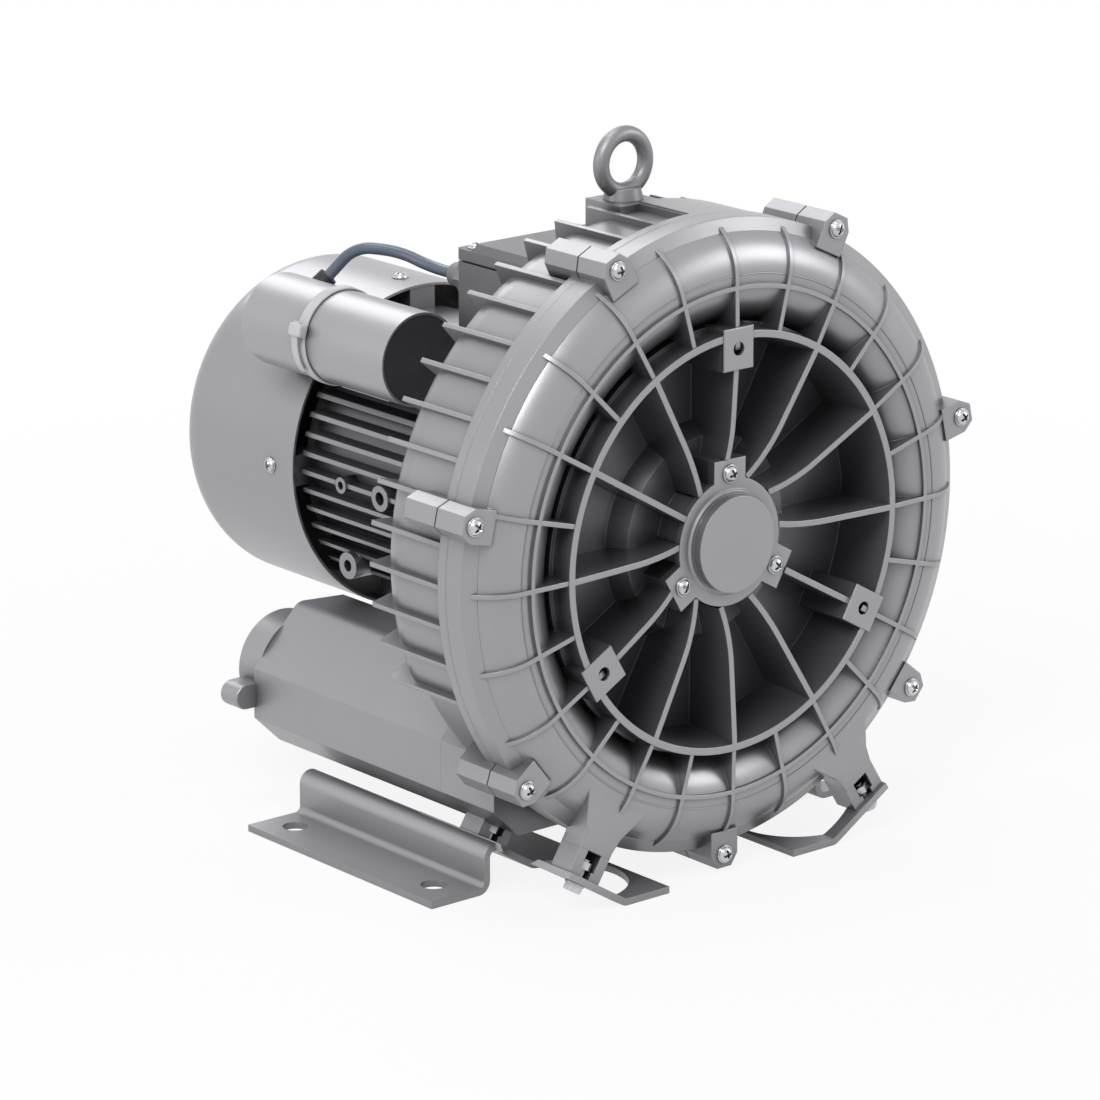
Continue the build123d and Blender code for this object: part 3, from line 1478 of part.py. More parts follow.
def silencer_foam(side):
    foam_inset = silencer_wall + liner_gap
    foam_back = silencer_back - silencer_wall - foam_end_gap
    with BuildPart() as body:
        with BuildSketch(across(foam_back)):
            with BuildLine():
                Polyline(*silencer_outline(side, foam_inset), close=True)
            make_face()
        extrude(amount=foam_back - silencer_front)
        with BuildSketch(across(silencer_back)):
            with Locations((side * port_x, port_z)):
                Circle(liner_bore_r)
        extrude(amount=silencer_back - silencer_front, mode=Mode.SUBTRACT)
    return body.part


inlet_silencer = silencer(-1)
inlet_silencer.label = "inlet_silencer"
export_step(inlet_silencer, "parts/inlet_silencer.step")

outlet_silencer = silencer(1)
outlet_silencer.label = "outlet_silencer"
export_step(outlet_silencer, "parts/outlet_silencer.step")

inlet_foam = silencer_foam(-1)
inlet_foam.label = "inlet_foam"
export_step(inlet_foam, "parts/inlet_foam.step")

outlet_foam = silencer_foam(1)
outlet_foam.label = "outlet_foam"
export_step(outlet_foam, "parts/outlet_foam.step")

# Foot brackets: floor flange, upright wall and sloping seat for the legs, bent from one sheet
def seat_height(x):
    # Height over the shaft of the middle of the sloping seat at a distance x from the centre plane.
    return (x * cos(radians(leg_angle)) - sole_r) / sin(radians(leg_angle))


floor_middle = sheet / 2 - axis_height
seat_foot_x = (sole_r + floor_middle * sin(radians(leg_angle))) / cos(radians(leg_angle))


def foot_bracket(side):
    bend_edge = (side * bracket_wall_x, seat_height(bracket_wall_x))
    seat_foot = (side * seat_foot_x, floor_middle)
    inner_end = (side * bracket_inner_x, floor_middle)
    with BuildPart() as body:
        with BuildSketch(across(bracket_back)):
            with BuildLine():
                FilletPolyline(
                    (side * bracket_outer_x, floor_middle),
                    (side * bracket_wall_x, floor_middle),
                    bend_edge,
                    (side * (seat_foot_x + bend_overlap), seat_height(seat_foot_x + bend_overlap)),
                    radius=bend_r,
                )
            trace(line_width=sheet)
        extrude(amount=bracket_back - bracket_step)
        with BuildSketch(across(front_flange_end)):
            with BuildLine():
                FilletPolyline(
                    (side * (bracket_wall_x - bend_r), seat_height(bracket_wall_x - bend_r)),
                    seat_foot,
                    inner_end,
                    radius=bend_r,
                )
            trace(line_width=sheet)
        extrude(amount=front_flange_end - bracket_front)
        with BuildSketch(Plane.XY):
            with Locations((side * cutout_x, cover_face_y + cutout_depth)):
                Circle(cutout_r)
            with Locations((side * foot_hole_x, 0)):
                with GridLocations(1, foot_hole_spacing, 1, 2):
                    Circle(foot_hole_r)
        extrude(amount=axis_height / 2, mode=Mode.SUBTRACT)
        for front in leg_fronts:
            angle = left_leg if side < 0 else right_leg
            with BuildSketch(foot_plane(angle, leg_foot_r - bite, front + leg_bolt_inset)):
                Circle(screw_r + thread_gap)
            extrude(amount=sheet + 2 * bite, mode=Mode.SUBTRACT)
    return body.part


left_foot_bracket = foot_bracket(-1)
left_foot_bracket.label = "left_foot_bracket"
export_step(left_foot_bracket, "parts/left_foot_bracket.step")

right_foot_bracket = foot_bracket(1)
right_foot_bracket.label = "right_foot_bracket"
export_step(right_foot_bracket, "parts/right_foot_bracket.step")

# Bolts from below each seat, and nuts in the windows of the legs
with BuildPart() as foot_bolts:
    for angle in (left_leg, right_leg):
        for front in leg_fronts:
            with BuildSketch(foot_plane(angle, leg_foot_r + sheet + thread_gap, front + leg_bolt_inset)):
                Circle(washer_r)
            extrude(amount=washer_thickness)
            with BuildSketch(foot_plane(angle, leg_foot_r + sheet + washer_thickness, front + leg_bolt_inset)):
                RegularPolygon(hex_flats / 2, 6, major_radius=False)
            extrude(amount=bolt_head_height)
            with BuildSketch(foot_plane(angle, leg_foot_r + sheet + washer_thickness, front + leg_bolt_inset)):
                Circle(screw_r)
            extrude(amount=-(sheet + washer_thickness + leg_sole + nut_height + bite))
foot_bolts.part.label = "foot_bolts"
export_step(foot_bolts.part, "parts/foot_bolts.step")

with BuildPart() as foot_nuts:
    for angle in (left_leg, right_leg):
        for front in leg_fronts:
            with BuildSketch(foot_plane(angle, leg_foot_r - leg_sole, front + leg_bolt_inset)):
                RegularPolygon(hex_flats / 2, 6, major_radius=False)
                Circle(screw_r + thread_gap, mode=Mode.SUBTRACT)
            extrude(amount=-nut_height)
foot_nuts.part.label = "foot_nuts"
export_step(foot_nuts.part, "parts/foot_nuts.step")
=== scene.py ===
import json
import math
import bpy
import numpy as np
from mathutils import Matrix, Vector


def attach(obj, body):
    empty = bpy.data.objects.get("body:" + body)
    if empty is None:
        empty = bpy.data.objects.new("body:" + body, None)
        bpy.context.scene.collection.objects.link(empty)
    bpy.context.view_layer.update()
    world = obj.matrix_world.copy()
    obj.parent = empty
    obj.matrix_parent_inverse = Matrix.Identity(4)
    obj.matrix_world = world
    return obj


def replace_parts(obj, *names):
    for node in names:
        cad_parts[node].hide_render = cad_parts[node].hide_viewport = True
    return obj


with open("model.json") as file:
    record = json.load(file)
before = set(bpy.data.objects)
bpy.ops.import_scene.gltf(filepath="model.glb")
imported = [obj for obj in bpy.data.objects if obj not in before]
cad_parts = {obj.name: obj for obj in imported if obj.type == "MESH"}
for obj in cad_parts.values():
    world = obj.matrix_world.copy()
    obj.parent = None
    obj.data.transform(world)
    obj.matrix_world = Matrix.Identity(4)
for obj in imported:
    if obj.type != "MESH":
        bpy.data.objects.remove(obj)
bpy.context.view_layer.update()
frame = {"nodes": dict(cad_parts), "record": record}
nodes = frame["nodes"]
record = frame["record"]


# Places shared by the pieces, in metres: depth counts back from under the heads of the cover screws
axisHeight = 0.1695
coverFace = -0.126
axisPoint = np.array([0.0, coverFace, axisHeight])
print("frame loaded:", len(nodes), "CAD nodes")


class Value:
    # A number in a shader: sums, products and powers of it add Math nodes to its tree
    def __init__(self, shading, socket):
        self.shading = shading
        self.socket = socket

    def maths(self, operation, first, second):
        return self.shading.node("ShaderNodeMath", {"operation": operation}, {0: first, 1: second})

    def __add__(self, other):
        return self.maths("ADD", self, other)

    def __radd__(self, other):
        return self.maths("ADD", other, self)

    def __sub__(self, other):
        return self.maths("SUBTRACT", self, other)

    def __rsub__(self, other):
        return self.maths("SUBTRACT", other, self)

    def __mul__(self, other):
        return self.maths("MULTIPLY", self, other)

    def __rmul__(self, other):
        return self.maths("MULTIPLY", other, self)

    def __pow__(self, other):
        return self.maths("POWER", self, other)

    def between(self, low, high):
        # 0 below low, 1 above high, even in between
        sockets = {0: self, 1: low, 2: high, 3: 0.0, 4: 1.0}
        return self.shading.node("ShaderNodeMapRange", {"clamp": True}, sockets)


# Rays sent out to ease an edge and to measure a hollow for the painted shade
shaderRays = {"edge": 4, "hollow": 6}


class Shading:
    # One material and the nodes that are added to it
    def __init__(self, name):
        self.material = bpy.data.materials.new(name)
        self.material.use_nodes = True
        self.tree = self.material.node_tree
        self.tree.nodes.clear()

    def node(self, kind, settings=None, inputs=None, output=0):
        made = self.tree.nodes.new(kind)
        for name, value in (settings or {}).items():
            setattr(made, name, value)
        for name, value in (inputs or {}).items():
            if isinstance(value, Value):
                self.tree.links.new(value.socket, made.inputs[name])
            else:
                made.inputs[name].default_value = value
        return Value(self, made.outputs[output] if len(made.outputs) else None)

    def mixed(self, factor, first, second):
        colours = [value if isinstance(value, Value) else (*value, 1.0) for value in (first, second)]
        sockets = {0: factor, 6: colours[0], 7: colours[1]}
        return self.node("ShaderNodeMix", {"data_type": "RGBA"}, sockets, 2)

    def coordinates(self):
        # Object coordinates are the fourth output
        return self.node("ShaderNodeTexCoord", output=3)

    def noise(self, scale, detail, roughness=0.55, stretch=(1, 1, 1)):
        place = self.node("ShaderNodeMapping", None, {"Vector": self.coordinates(), "Scale": stretch})
        sockets = {"Vector": place, "Scale": scale, "Detail": detail, "Roughness": roughness}
        return self.node("ShaderNodeTexNoise", None, sockets)

    def place(self):
        # The three object coordinates as numbers
        whole = self.coordinates()
        return [self.node("ShaderNodeSeparateXYZ", None, {0: whole}, axis) for axis in range(3)]

    def hollows(self, reach):
        # 1 in the open and 0 deep between walls closer than reach; it masks the painted shade in hollows
        settings = {"samples": shaderRays["hollow"]}
        return self.node("ShaderNodeAmbientOcclusion", settings, {"Distance": reach}, 1)

    def finish(self, principled):
        self.node("ShaderNodeOutputMaterial", None, {0: principled})
        return self.material


def roundedNormal(shading, radius, height, strength, distance):
    # Edges eased over the radius, with fine relief on top
    eased = shading.node("ShaderNodeBevel", {"samples": shaderRays["edge"]}, {"Radius": radius})
    sockets = {"Height": height, "Normal": eased, "Strength": strength, "Distance": distance}
    return shading.node("ShaderNodeBump", None, sockets)


castLook = {
    "colour": (0.352, 0.352, 0.369), "shade": (0.055, 0.056, 0.064), "reach": 0.045, "hollowPower": 0.9,
    "metallic": 0.72, "roughness": 0.34, "specular": 0.45, "edge": 0.0007, "relief": 0.35, "wave": 0.05,
    "grainScale": 900.0, "grainDetail": 4.0, "grainContrast": 0.65, "grainDepth": 0.00006, "grainGloss": 0.12,
    "cloudScale": 28.0, "cloudDetail": 2.0, "cloudHeight": 0.4, "cloudGloss": 0.10,
}


def castMetal(name, look, deeper=None):
    # Satin painted casting: cloudy tone, fine grain, painted shade that darkens its hollows, eased edges
    paint = Shading(name)
    cloud = paint.noise(look["cloudScale"], look["cloudDetail"])
    grain = paint.noise(look["grainScale"], look["grainDetail"], look["grainContrast"])
    tone = 1 + (cloud - 0.5) * (2 * look["wave"])
    # Painted shade: the colour falls towards the shade colour where ambient occlusion finds hollows
    unshadedShare = paint.hollows(look["reach"]) ** look["hollowPower"]
    if deeper is not None:
        unshadedShare = unshadedShare * deeper(paint)
    lit = paint.mixed(tone, (0, 0, 0), look["colour"])
    colour = paint.mixed(unshadedShare, look["shade"], lit)
    rough = look["roughness"] + (grain - 0.5) * look["grainGloss"] + (cloud - 0.5) * look["cloudGloss"]
    height = grain + cloud * look["cloudHeight"]
    bump = roundedNormal(paint, look["edge"], height, look["relief"], look["grainDepth"])
    sockets = {"Base Color": colour, "Roughness": rough, "Normal": bump, "Metallic": look["metallic"],
               "Specular IOR Level": look["specular"]}
    return paint.finish(paint.node("ShaderNodeBsdfPrincipled", None, sockets))


# Reach and strength of the painted shade on the floor of the dished cover
dishSet = {"front": -0.004, "floor": 0.022, "wallInner": 0.099, "wallOuter": 0.104, "darker": 0.42}


def dishShade(paint):
    # Painted shade: the floor of the dished cover is darker the deeper it lies behind the ring
    x, y, z = paint.place()
    radius = (x * x + (z - axisHeight) * (z - axisHeight)) ** 0.5
    deep = y.between(coverFace + dishSet["front"], coverFace + dishSet["floor"])
    inside = 1 - radius.between(dishSet["wallInner"], dishSet["wallOuter"])
    return 1 - deep * inside * dishSet["darker"]


plateLook = dict(castLook, colour=(0.44, 0.44, 0.46), metallic=0.5, roughness=0.38, edge=0.0005,
                 grainDepth=0.00003, wave=0.03)
cowlLook = dict(castLook, colour=(0.35, 0.35, 0.368), grainDepth=0.00002, roughness=0.32, wave=0.025,
                edge=0.0004, reach=0.02)
motorLook = dict(castLook, colour=(0.30, 0.30, 0.315), reach=0.018, hollowPower=1.3)

metalLook = {
    "colour": (0.62, 0.63, 0.66), "metallic": 0.95, "roughness": 0.24, "edge": 0.00025, "relief": 0.4,
    "scratchScale": 420.0, "scratchDetail": 3.0, "scratchContrast": 0.6, "scratchStretch": (1, 9, 1),
    "scratchDepth": 0.00002, "scratchGloss": 0.18, "blotchScale": 160.0, "blotchDetail": 2.0,
    "blotchFrom": 0.35, "blotchTo": 0.7, "blotchTone": 0.82, "reach": 0.006, "shadeTone": 0.12,
}


def platedMetal(name, look):
    # Plated steel with fine turning marks, faint blotches, and painted shade in its hollows
    steel = Shading(name)
    marks = steel.noise(look["scratchScale"], look["scratchDetail"], look["scratchContrast"],
                        look["scratchStretch"])
    blotch = steel.noise(look["blotchScale"], look["blotchDetail"])
    dull = tuple(look["blotchTone"] * part for part in look["colour"])
    dark = tuple(look["shadeTone"] * part for part in look["colour"])
    colour = steel.mixed(blotch.between(look["blotchFrom"], look["blotchTo"]), look["colour"], dull)
    # Painted shade: darker where ambient occlusion finds hollows
    colour = steel.mixed(steel.hollows(look["reach"]), dark, colour)
    rough = look["roughness"] + (marks - 0.5) * look["scratchGloss"]
    bump = roundedNormal(steel, look["edge"], marks, look["relief"], look["scratchDepth"])
    sockets = {"Base Color": colour, "Roughness": rough, "Normal": bump, "Metallic": look["metallic"]}
    return steel.finish(steel.node("ShaderNodeBsdfPrincipled", None, sockets))


plasticLook = {
    "colour": (0.04, 0.04, 0.045), "roughness": 0.5, "edge": 0.0003, "relief": 0.4,
    "grainScale": 1400.0, "grainDetail": 2.0, "grainDepth": 0.00004, "cloudScale": 60.0, "cloudDetail": 2.0,
    "cloudFrom": 0.3, "cloudTo": 0.75, "cloudGloss": 0.15, "paleTone": 1.25, "paleLift": 0.004,
}


def mouldedPlastic(name, look):
    # Moulded plastic or rubber with a fine grain and slightly uneven gloss
    resin = Shading(name)
    grain = resin.noise(look["grainScale"], look["grainDetail"])
    cloud = resin.noise(look["cloudScale"], look["cloudDetail"])
    pale = tuple(min(1.0, look["paleTone"] * part + look["paleLift"]) for part in look["colour"])
    colour = resin.mixed(cloud.between(look["cloudFrom"], look["cloudTo"]), look["colour"], pale)
    rough = look["roughness"] + (cloud - 0.5) * look["cloudGloss"]
    bump = roundedNormal(resin, look["edge"], grain, look["relief"], look["grainDepth"])
    sockets = {"Base Color": colour, "Roughness": rough, "Normal": bump}
    return resin.finish(resin.node("ShaderNodeBsdfPrincipled", None, sockets))


foamLook = {"hollow": (0.012, 0.012, 0.014), "rim": (0.07, 0.07, 0.075), "roughness": 0.9, "cellScale": 420.0,
            "rimWidth": 0.25, "relief": 0.8, "cellDepth": 0.0006}


def openFoam(name, look):
    # Foam with open cells; painted shade darkens the hollow of each cell
    foam = Shading(name)
    sockets = {"Vector": foam.coordinates(), "Scale": look["cellScale"]}
    cells = foam.node("ShaderNodeTexVoronoi", {"feature": "DISTANCE_TO_EDGE"}, sockets)
    rim = 1 - cells.between(0.0, look["rimWidth"])
    # Painted shade: cell hollows take the dark colour, the rims the foam's own
    colour = foam.mixed(rim, look["hollow"], look["rim"])
    sockets = {"Height": rim, "Strength": look["relief"], "Distance": look["cellDepth"]}
    bump = foam.node("ShaderNodeBump", None, sockets)
    sockets = {"Base Color": colour, "Roughness": look["roughness"], "Normal": bump}
    return foam.finish(foam.node("ShaderNodeBsdfPrincipled", None, sockets))


copperLook = {"gap": (0.10, 0.03, 0.012), "crest": (0.55, 0.22, 0.09), "metallic": 0.7, "roughness": 0.32,
              "turnScale": 260.0, "distortion": 1.5, "detail": 1.0, "relief": 0.7, "wireDepth": 0.0006}


def woundCopper(name, look):
    # Enamelled wire wound side by side around the shaft; painted shade darkens the space between neighbouring
    # turns
    wire = Shading(name)
    sockets = {"Vector": wire.coordinates(), "Scale": look["turnScale"], "Distortion": look["distortion"],
               "Detail": look["detail"]}
    turns = wire.node("ShaderNodeTexWave", {"bands_direction": "Y"}, sockets, 1)
    # Painted shade: dark between the turns, the copper's own colour on their crests
    colour = wire.mixed(turns, look["gap"], look["crest"])
    sockets = {"Height": turns, "Strength": look["relief"], "Distance": look["wireDepth"]}
    bump = wire.node("ShaderNodeBump", None, sockets)
    sockets = {"Base Color": colour, "Roughness": look["roughness"], "Normal": bump,
               "Metallic": look["metallic"]}
    return wire.finish(wire.node("ShaderNodeBsdfPrincipled", None, sockets))


finishes = {
    "cast_aluminium": castMetal("cast aluminium", castLook),
    "bracket_steel": castMetal("bracket paint", plateLook),
    "cowl_paint": castMetal("cowl paint", cowlLook),
    "zinc_steel": platedMetal("zinc plating", metalLook),
    "forged_steel": castMetal("forged steel", dict(castLook, colour=(0.27, 0.27, 0.28), metallic=0.75,
                                                  roughness=0.42, reach=0.02)),
    "plain_steel": platedMetal("ground steel", dict(metalLook, colour=(0.5, 0.5, 0.52), roughness=0.3)),
    "core_steel": platedMetal("core sheets", dict(metalLook, colour=(0.12, 0.12, 0.125), roughness=0.45)),
    "copper": woundCopper("wound copper", copperLook),
    "box_plastic": castMetal("box casting", dict(castLook, colour=(0.17, 0.17, 0.18), metallic=0.3,
                                                 reach=0.02)),
    "black_plastic": mouldedPlastic("black plastic", plasticLook),
    "grey_plastic": mouldedPlastic("grey plastic", dict(plasticLook, colour=(0.2, 0.205, 0.22))),
    "capacitor_can": castMetal("drawn can", dict(cowlLook, colour=(0.40, 0.40, 0.418), roughness=0.36)),
    "tie_plastic": mouldedPlastic("tie nylon", dict(plasticLook, colour=(0.50, 0.50, 0.52), roughness=0.4)),
    "lead_plastic": mouldedPlastic("lead sheath", dict(plasticLook, colour=(0.11, 0.14, 0.19), roughness=0.22)),
    "rubber": mouldedPlastic("rubber", dict(plasticLook, colour=(0.018, 0.018, 0.02), roughness=0.6)),
    "foam": openFoam("foam", foamLook),
}
coverPaint = castMetal("cover casting", castLook, dishShade)
motorPaint = castMetal("motor casting", motorLook)
silencerPaint = castMetal("silencer casting", dict(castLook, reach=0.010, roughness=0.42))
slotOf = {part["node"]: part["material_slot"] for part in record["subparts"]}


def dress(piece, material):
    piece.data.materials.clear()
    piece.data.materials.append(material)


for nodeName, node in nodes.items():
    dress(node, finishes[slotOf[nodeName]])
dress(nodes["front_cover"], coverPaint)
dress(nodes["motor_frame"], motorPaint)
dress(nodes["rear_shield"], motorPaint)
dress(nodes["eyebolt"], finishes["forged_steel"])
dress(nodes["cover_gasket"], coverPaint)
dress(nodes["inlet_silencer"], silencerPaint)
dress(nodes["outlet_silencer"], silencerPaint)
print("materials:", len(bpy.data.materials))


def gridFaces(rows, columns, start, wrapRows):
    # Four corners of each cell of a grid of points, counted row by row; the columns close on themselves
    rowCount = rows if wrapRows else rows - 1
    row, column = np.meshgrid(np.arange(rowCount), np.arange(columns), indexing="ij")
    nextRow = (row + 1) % rows
    nextColumn = (column + 1) % columns
    corners = [row * columns + column, row * columns + nextColumn,
               nextRow * columns + nextColumn, nextRow * columns + column]
    return np.stack(corners, -1).reshape(-1, 4) + start


def surfacePiece(name, grids, slot, sharpAngle=38.0, wrapRows=False):
    # One mesh from several grids of points, each an array of rows, columns and three coordinates
    faces = []
    points = []
    start = 0
    for grid in grids:
        rows, columns = grid.shape[:2]
        faces.append(gridFaces(rows, columns, start, wrapRows))
        points.append(grid.reshape(-1, 3))
        start += rows * columns
    mesh = bpy.data.meshes.new(name)
    mesh.from_pydata(np.concatenate(points).tolist(), [], np.concatenate(faces).tolist())
    mesh.validate()
    mesh.polygons.foreach_set("use_smooth", np.ones(len(mesh.polygons), bool))
    mesh.set_sharp_from_angle(angle=math.radians(sharpAngle))
    piece = bpy.data.objects.new(name, mesh)
    bpy.context.scene.collection.objects.link(piece)
    dress(piece, finishes[slot])
    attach(piece, "frame")
    return piece


def placed(grid, origin, outwards, turn=0.0):
    # Grid in its own place, with its third axis turned along outwards, and spun about it by turn degrees
    normal = np.array(outwards, float) / np.linalg.norm(outwards)
    side = np.cross([0.0, 0.0, 1.0] if abs(normal[2]) < 0.9 else [0.0, 1.0, 0.0], normal)
    side = side / np.linalg.norm(side)
    upright = np.cross(normal, side)
    angle = math.radians(turn)
    first = math.cos(angle) * side + math.sin(angle) * upright
    second = np.cross(normal, first)
    return np.array(origin) + grid @ np.stack([first, second, normal])


def around(angle, radius):
    return radius * math.cos(math.radians(angle)), radius * math.sin(math.radians(angle))


screwLook = {
    "shankRadius": 0.0025, "headRadius": 0.00475, "headHeight": 0.0034, "flangeHeight": 0.0009,
    "recessWidth": 0.0011, "recessReach": 0.0026, "recessDepth": 0.0017, "aroundCount": 96,
    "domeShare": 0.86, "domePower": 2.6, "domeRound": 0.75, "domeRows": 26, "rimShare": 0.96, "rimHeight": 0.7,
    "wallSlope": 0.0002, "endSlope": 0.0009,
}


def screwGrid(look, length):
    # Profile turned about the third axis: shank, flange, then a dome that falls with a power of the radius;
    # a cross is sunk into it, its depth the larger of two arms with sloping walls
    turn = np.linspace(0, 2 * np.pi, look["aroundCount"], endpoint=False)
    domeRadius = look["headRadius"] * look["domeShare"]
    domeBase = look["flangeHeight"]
    domeRise = look["headHeight"] - domeBase
    inwards = np.linspace(1.0, 0.0, look["domeRows"])
    domeHeight = domeBase + domeRise * (1 - inwards ** look["domePower"]) ** look["domeRound"]
    lower = np.array([[0.0, -length], [look["shankRadius"], -length], [look["shankRadius"], 0.0],
                      [look["headRadius"], 0.0], [look["headRadius"], domeBase * look["rimHeight"]],
                      [look["headRadius"] * look["rimShare"], domeBase]])
    profile = np.concatenate([lower, np.stack([domeRadius * inwards, domeHeight], 1)])
    radius = profile[:, :1]
    x = radius * np.cos(turn)
    y = radius * np.sin(turn)
    z = profile[:, 1:] + 0 * x
    arms = []
    for along, across in ((x, y), (y, x)):
        wall = np.clip((look["recessWidth"] / 2 - np.abs(across)) / look["wallSlope"] + 0.5, 0, 1)
        end = np.clip((look["recessReach"] - np.abs(along)) / look["endSlope"], 0, 1)
        arms.append(wall * end)
    sunk = np.maximum(*arms) * look["recessDepth"]
    onDome = (np.arange(len(profile)) >= len(lower))[:, None]
    return np.stack([x, y, np.where(onDome, z - sunk, z)], -1)


coverScrewSet = {"circle": 0.160, "count": 7, "first": 270.0, "length": 0.038,
                 "turns": (12, 55, 31, 70, 5, 48, 24)}
coverGrid = screwGrid(screwLook, coverScrewSet["length"])
coverHeads = []
for index in range(coverScrewSet["count"]):
    x, z = around(coverScrewSet["first"] + index * 360 / coverScrewSet["count"], coverScrewSet["circle"])
    centre = axisPoint + np.array([x, 0.0, z])
    coverHeads.append(placed(coverGrid, centre, (0, -1, 0), coverScrewSet["turns"][index]))
coverScrews = surfacePiece("cover_screw_heads", coverHeads, "zinc_steel")
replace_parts(coverScrews, "cover_screws")

capScrewSet = {"circle": 0.0342, "angles": (90, 210, 330), "depth": -0.002, "length": 0.012,
               "turns": (20, 64, 41)}
capGrid = screwGrid(screwLook, capScrewSet["length"])
capHeads = []
for angle, turn in zip(capScrewSet["angles"], capScrewSet["turns"]):
    x, z = around(angle, capScrewSet["circle"])
    centre = axisPoint + np.array([x, capScrewSet["depth"], z])
    capHeads.append(placed(capGrid, centre, (0, -1, 0), turn))
capScrews = surfacePiece("cap_screw_heads", capHeads, "zinc_steel")
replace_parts(capScrews, "hub_cap_screws")

cowlScrewSet = {"radius": 0.0852, "depth": 0.254, "length": 0.010, "angles": (0, 90, 180, 270), "turn": 15}
cowlScrewLook = dict(screwLook, headRadius=0.00425, headHeight=0.0028, flangeHeight=0.0006)
cowlGrid = screwGrid(cowlScrewLook, cowlScrewSet["length"])
cowlHeads = []
for angle in cowlScrewSet["angles"]:
    x, z = around(angle, 1.0)
    out = cowlScrewSet["radius"]
    centre = axisPoint + np.array([x * out, cowlScrewSet["depth"], z * out])
    cowlHeads.append(placed(cowlGrid, centre, (x, 0, z), cowlScrewSet["turn"]))
cowlScrews = surfacePiece("cowl_screw_heads", cowlHeads, "zinc_steel")
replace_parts(cowlScrews, "cowl_screws")

lidScrewSet = {"x": 0.033, "depths": (0.097, 0.151), "height": 0.2930, "length": 0.0165,
               "turns": (10, 50, 75, 33)}
lidScrewLook = dict(screwLook, shankRadius=0.002, headRadius=0.004, headHeight=0.0026, flangeHeight=0.0006,
                    recessWidth=0.0009, recessReach=0.0021, recessDepth=0.0013)
lidGrid = screwGrid(lidScrewLook, lidScrewSet["length"])
lidHeads = []
for index, turn in enumerate(lidScrewSet["turns"]):
    side = 1 if index % 2 else -1
    centre = (side * lidScrewSet["x"], coverFace + lidScrewSet["depths"][index // 2], lidScrewSet["height"])
    lidHeads.append(placed(lidGrid, centre, (0, 0, 1), turn))
lidScrews = surfacePiece("lid_screw_heads", lidHeads, "zinc_steel")
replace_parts(lidScrews, "lid_screws")
print("screws: cover, hub cap, cowl and lid")

tieSet = {
    "centre": (-0.0755, 0.2445), "depth": 0.207, "radius": 0.02385, "thickness": 0.0012, "width": 0.007,
    "headAngle": 165.0, "headSize": (0.0068, 0.0098, 0.0056), "toothPitch": 2.6, "toothDepth": 0.00028,
    "toothFrom": 72.0, "toothTo": 128.0, "tailWidth": 0.0048, "tailEnd": 214.0, "tailLift": (0.0052, 0.0030),
    "tailShift": 0.0016, "tailThickness": 0.0011, "tailSunk": 0.001, "tailGap": 9, "headLift": 0.0004,
    "edge": 0.00025, "flatShare": 0.7, "toothSteep": 2, "bandSteps": 721, "tailSteps": 90,
}


def stripGrid(angles, radius, thickness, width, depth, tooth=None):
    # Flat strip with eased edges that runs around the capacitor; the teeth raise the middle of its outside
    ease = tieSet["edge"]
    flat = tieSet["flatShare"]
    acrossStrip = np.array([-1, -1, -flat, flat, 1, 1, 1, flat, -flat, -1]) * (width / 2)
    upStrip = np.array([ease, thickness - ease, thickness, thickness, thickness - ease, ease, ease, 0, 0, ease])
    raised = np.array([0, 0, 1, 1, 0, 0, 0, 0, 0, 0])
    angle = np.radians(angles)[:, None]
    lift = 0.0 if tooth is None else tooth[:, None] * raised
    reach = np.asarray(radius).reshape(-1, 1) + upStrip + lift
    x = tieSet["centre"][0] + reach * np.cos(angle)
    z = tieSet["centre"][1] + reach * np.sin(angle)
    y = coverFace + np.asarray(depth).reshape(-1, 1) + acrossStrip + 0 * reach
    return np.stack([x, y, z], -1)


def roundedBlock(size, power=5.0, rows=28, columns=56):
    # Block with eased edges: a ball whose coordinates are raised to a small power of themselves
    def eased(value):
        return np.sign(value) * np.abs(value) ** (2 / power)

    up = np.linspace(-np.pi / 2, np.pi / 2, rows)[:, None]
    turn = np.linspace(0, 2 * np.pi, columns, endpoint=False)
    x = eased(np.cos(up)) * eased(np.cos(turn))
    y = eased(np.cos(up)) * eased(np.sin(turn))
    z = eased(np.sin(up)) + 0 * turn
    return np.stack([x, y, z], -1) * (np.array(size) / 2)


bandAngles = np.linspace(tieSet["headAngle"], tieSet["headAngle"] + 360, tieSet["bandSteps"])
toothWave = np.sin(np.radians(bandAngles * 360 / tieSet["toothPitch"])) * tieSet["toothSteep"]
teeth = np.clip(toothWave, 0, 1) * tieSet["toothDepth"]
turned = np.mod(bandAngles, 360)
teeth = teeth * ((turned > tieSet["toothFrom"]) & (turned < tieSet["toothTo"]))
bandGrid = stripGrid(bandAngles, tieSet["radius"] + 0 * bandAngles, tieSet["thickness"], tieSet["width"],
                     tieSet["depth"] + 0 * bandAngles, teeth)
tailAngles = np.linspace(tieSet["headAngle"] - tieSet["tailGap"], tieSet["tailEnd"], tieSet["tailSteps"])
tailShare = (tailAngles - tailAngles[0]) / (tailAngles[-1] - tailAngles[0])
nearLift, farLift = tieSet["tailLift"]
tailRadius = tieSet["radius"] + nearLift + (farLift - nearLift) * tailShare
tailGrid = stripGrid(tailAngles, tailRadius - tieSet["tailSunk"], tieSet["tailThickness"], tieSet["tailWidth"],
                     tieSet["depth"] + tieSet["tailShift"] * tailShare)
headX, headZ = around(tieSet["headAngle"], 1.0)
headReach = tieSet["radius"] + tieSet["headSize"][2] / 2 + tieSet["headLift"]
headCentre = (tieSet["centre"][0] + headX * headReach, coverFace + tieSet["depth"],
              tieSet["centre"][1] + headZ * headReach)
headWide, headLong, headHigh = tieSet["headSize"]
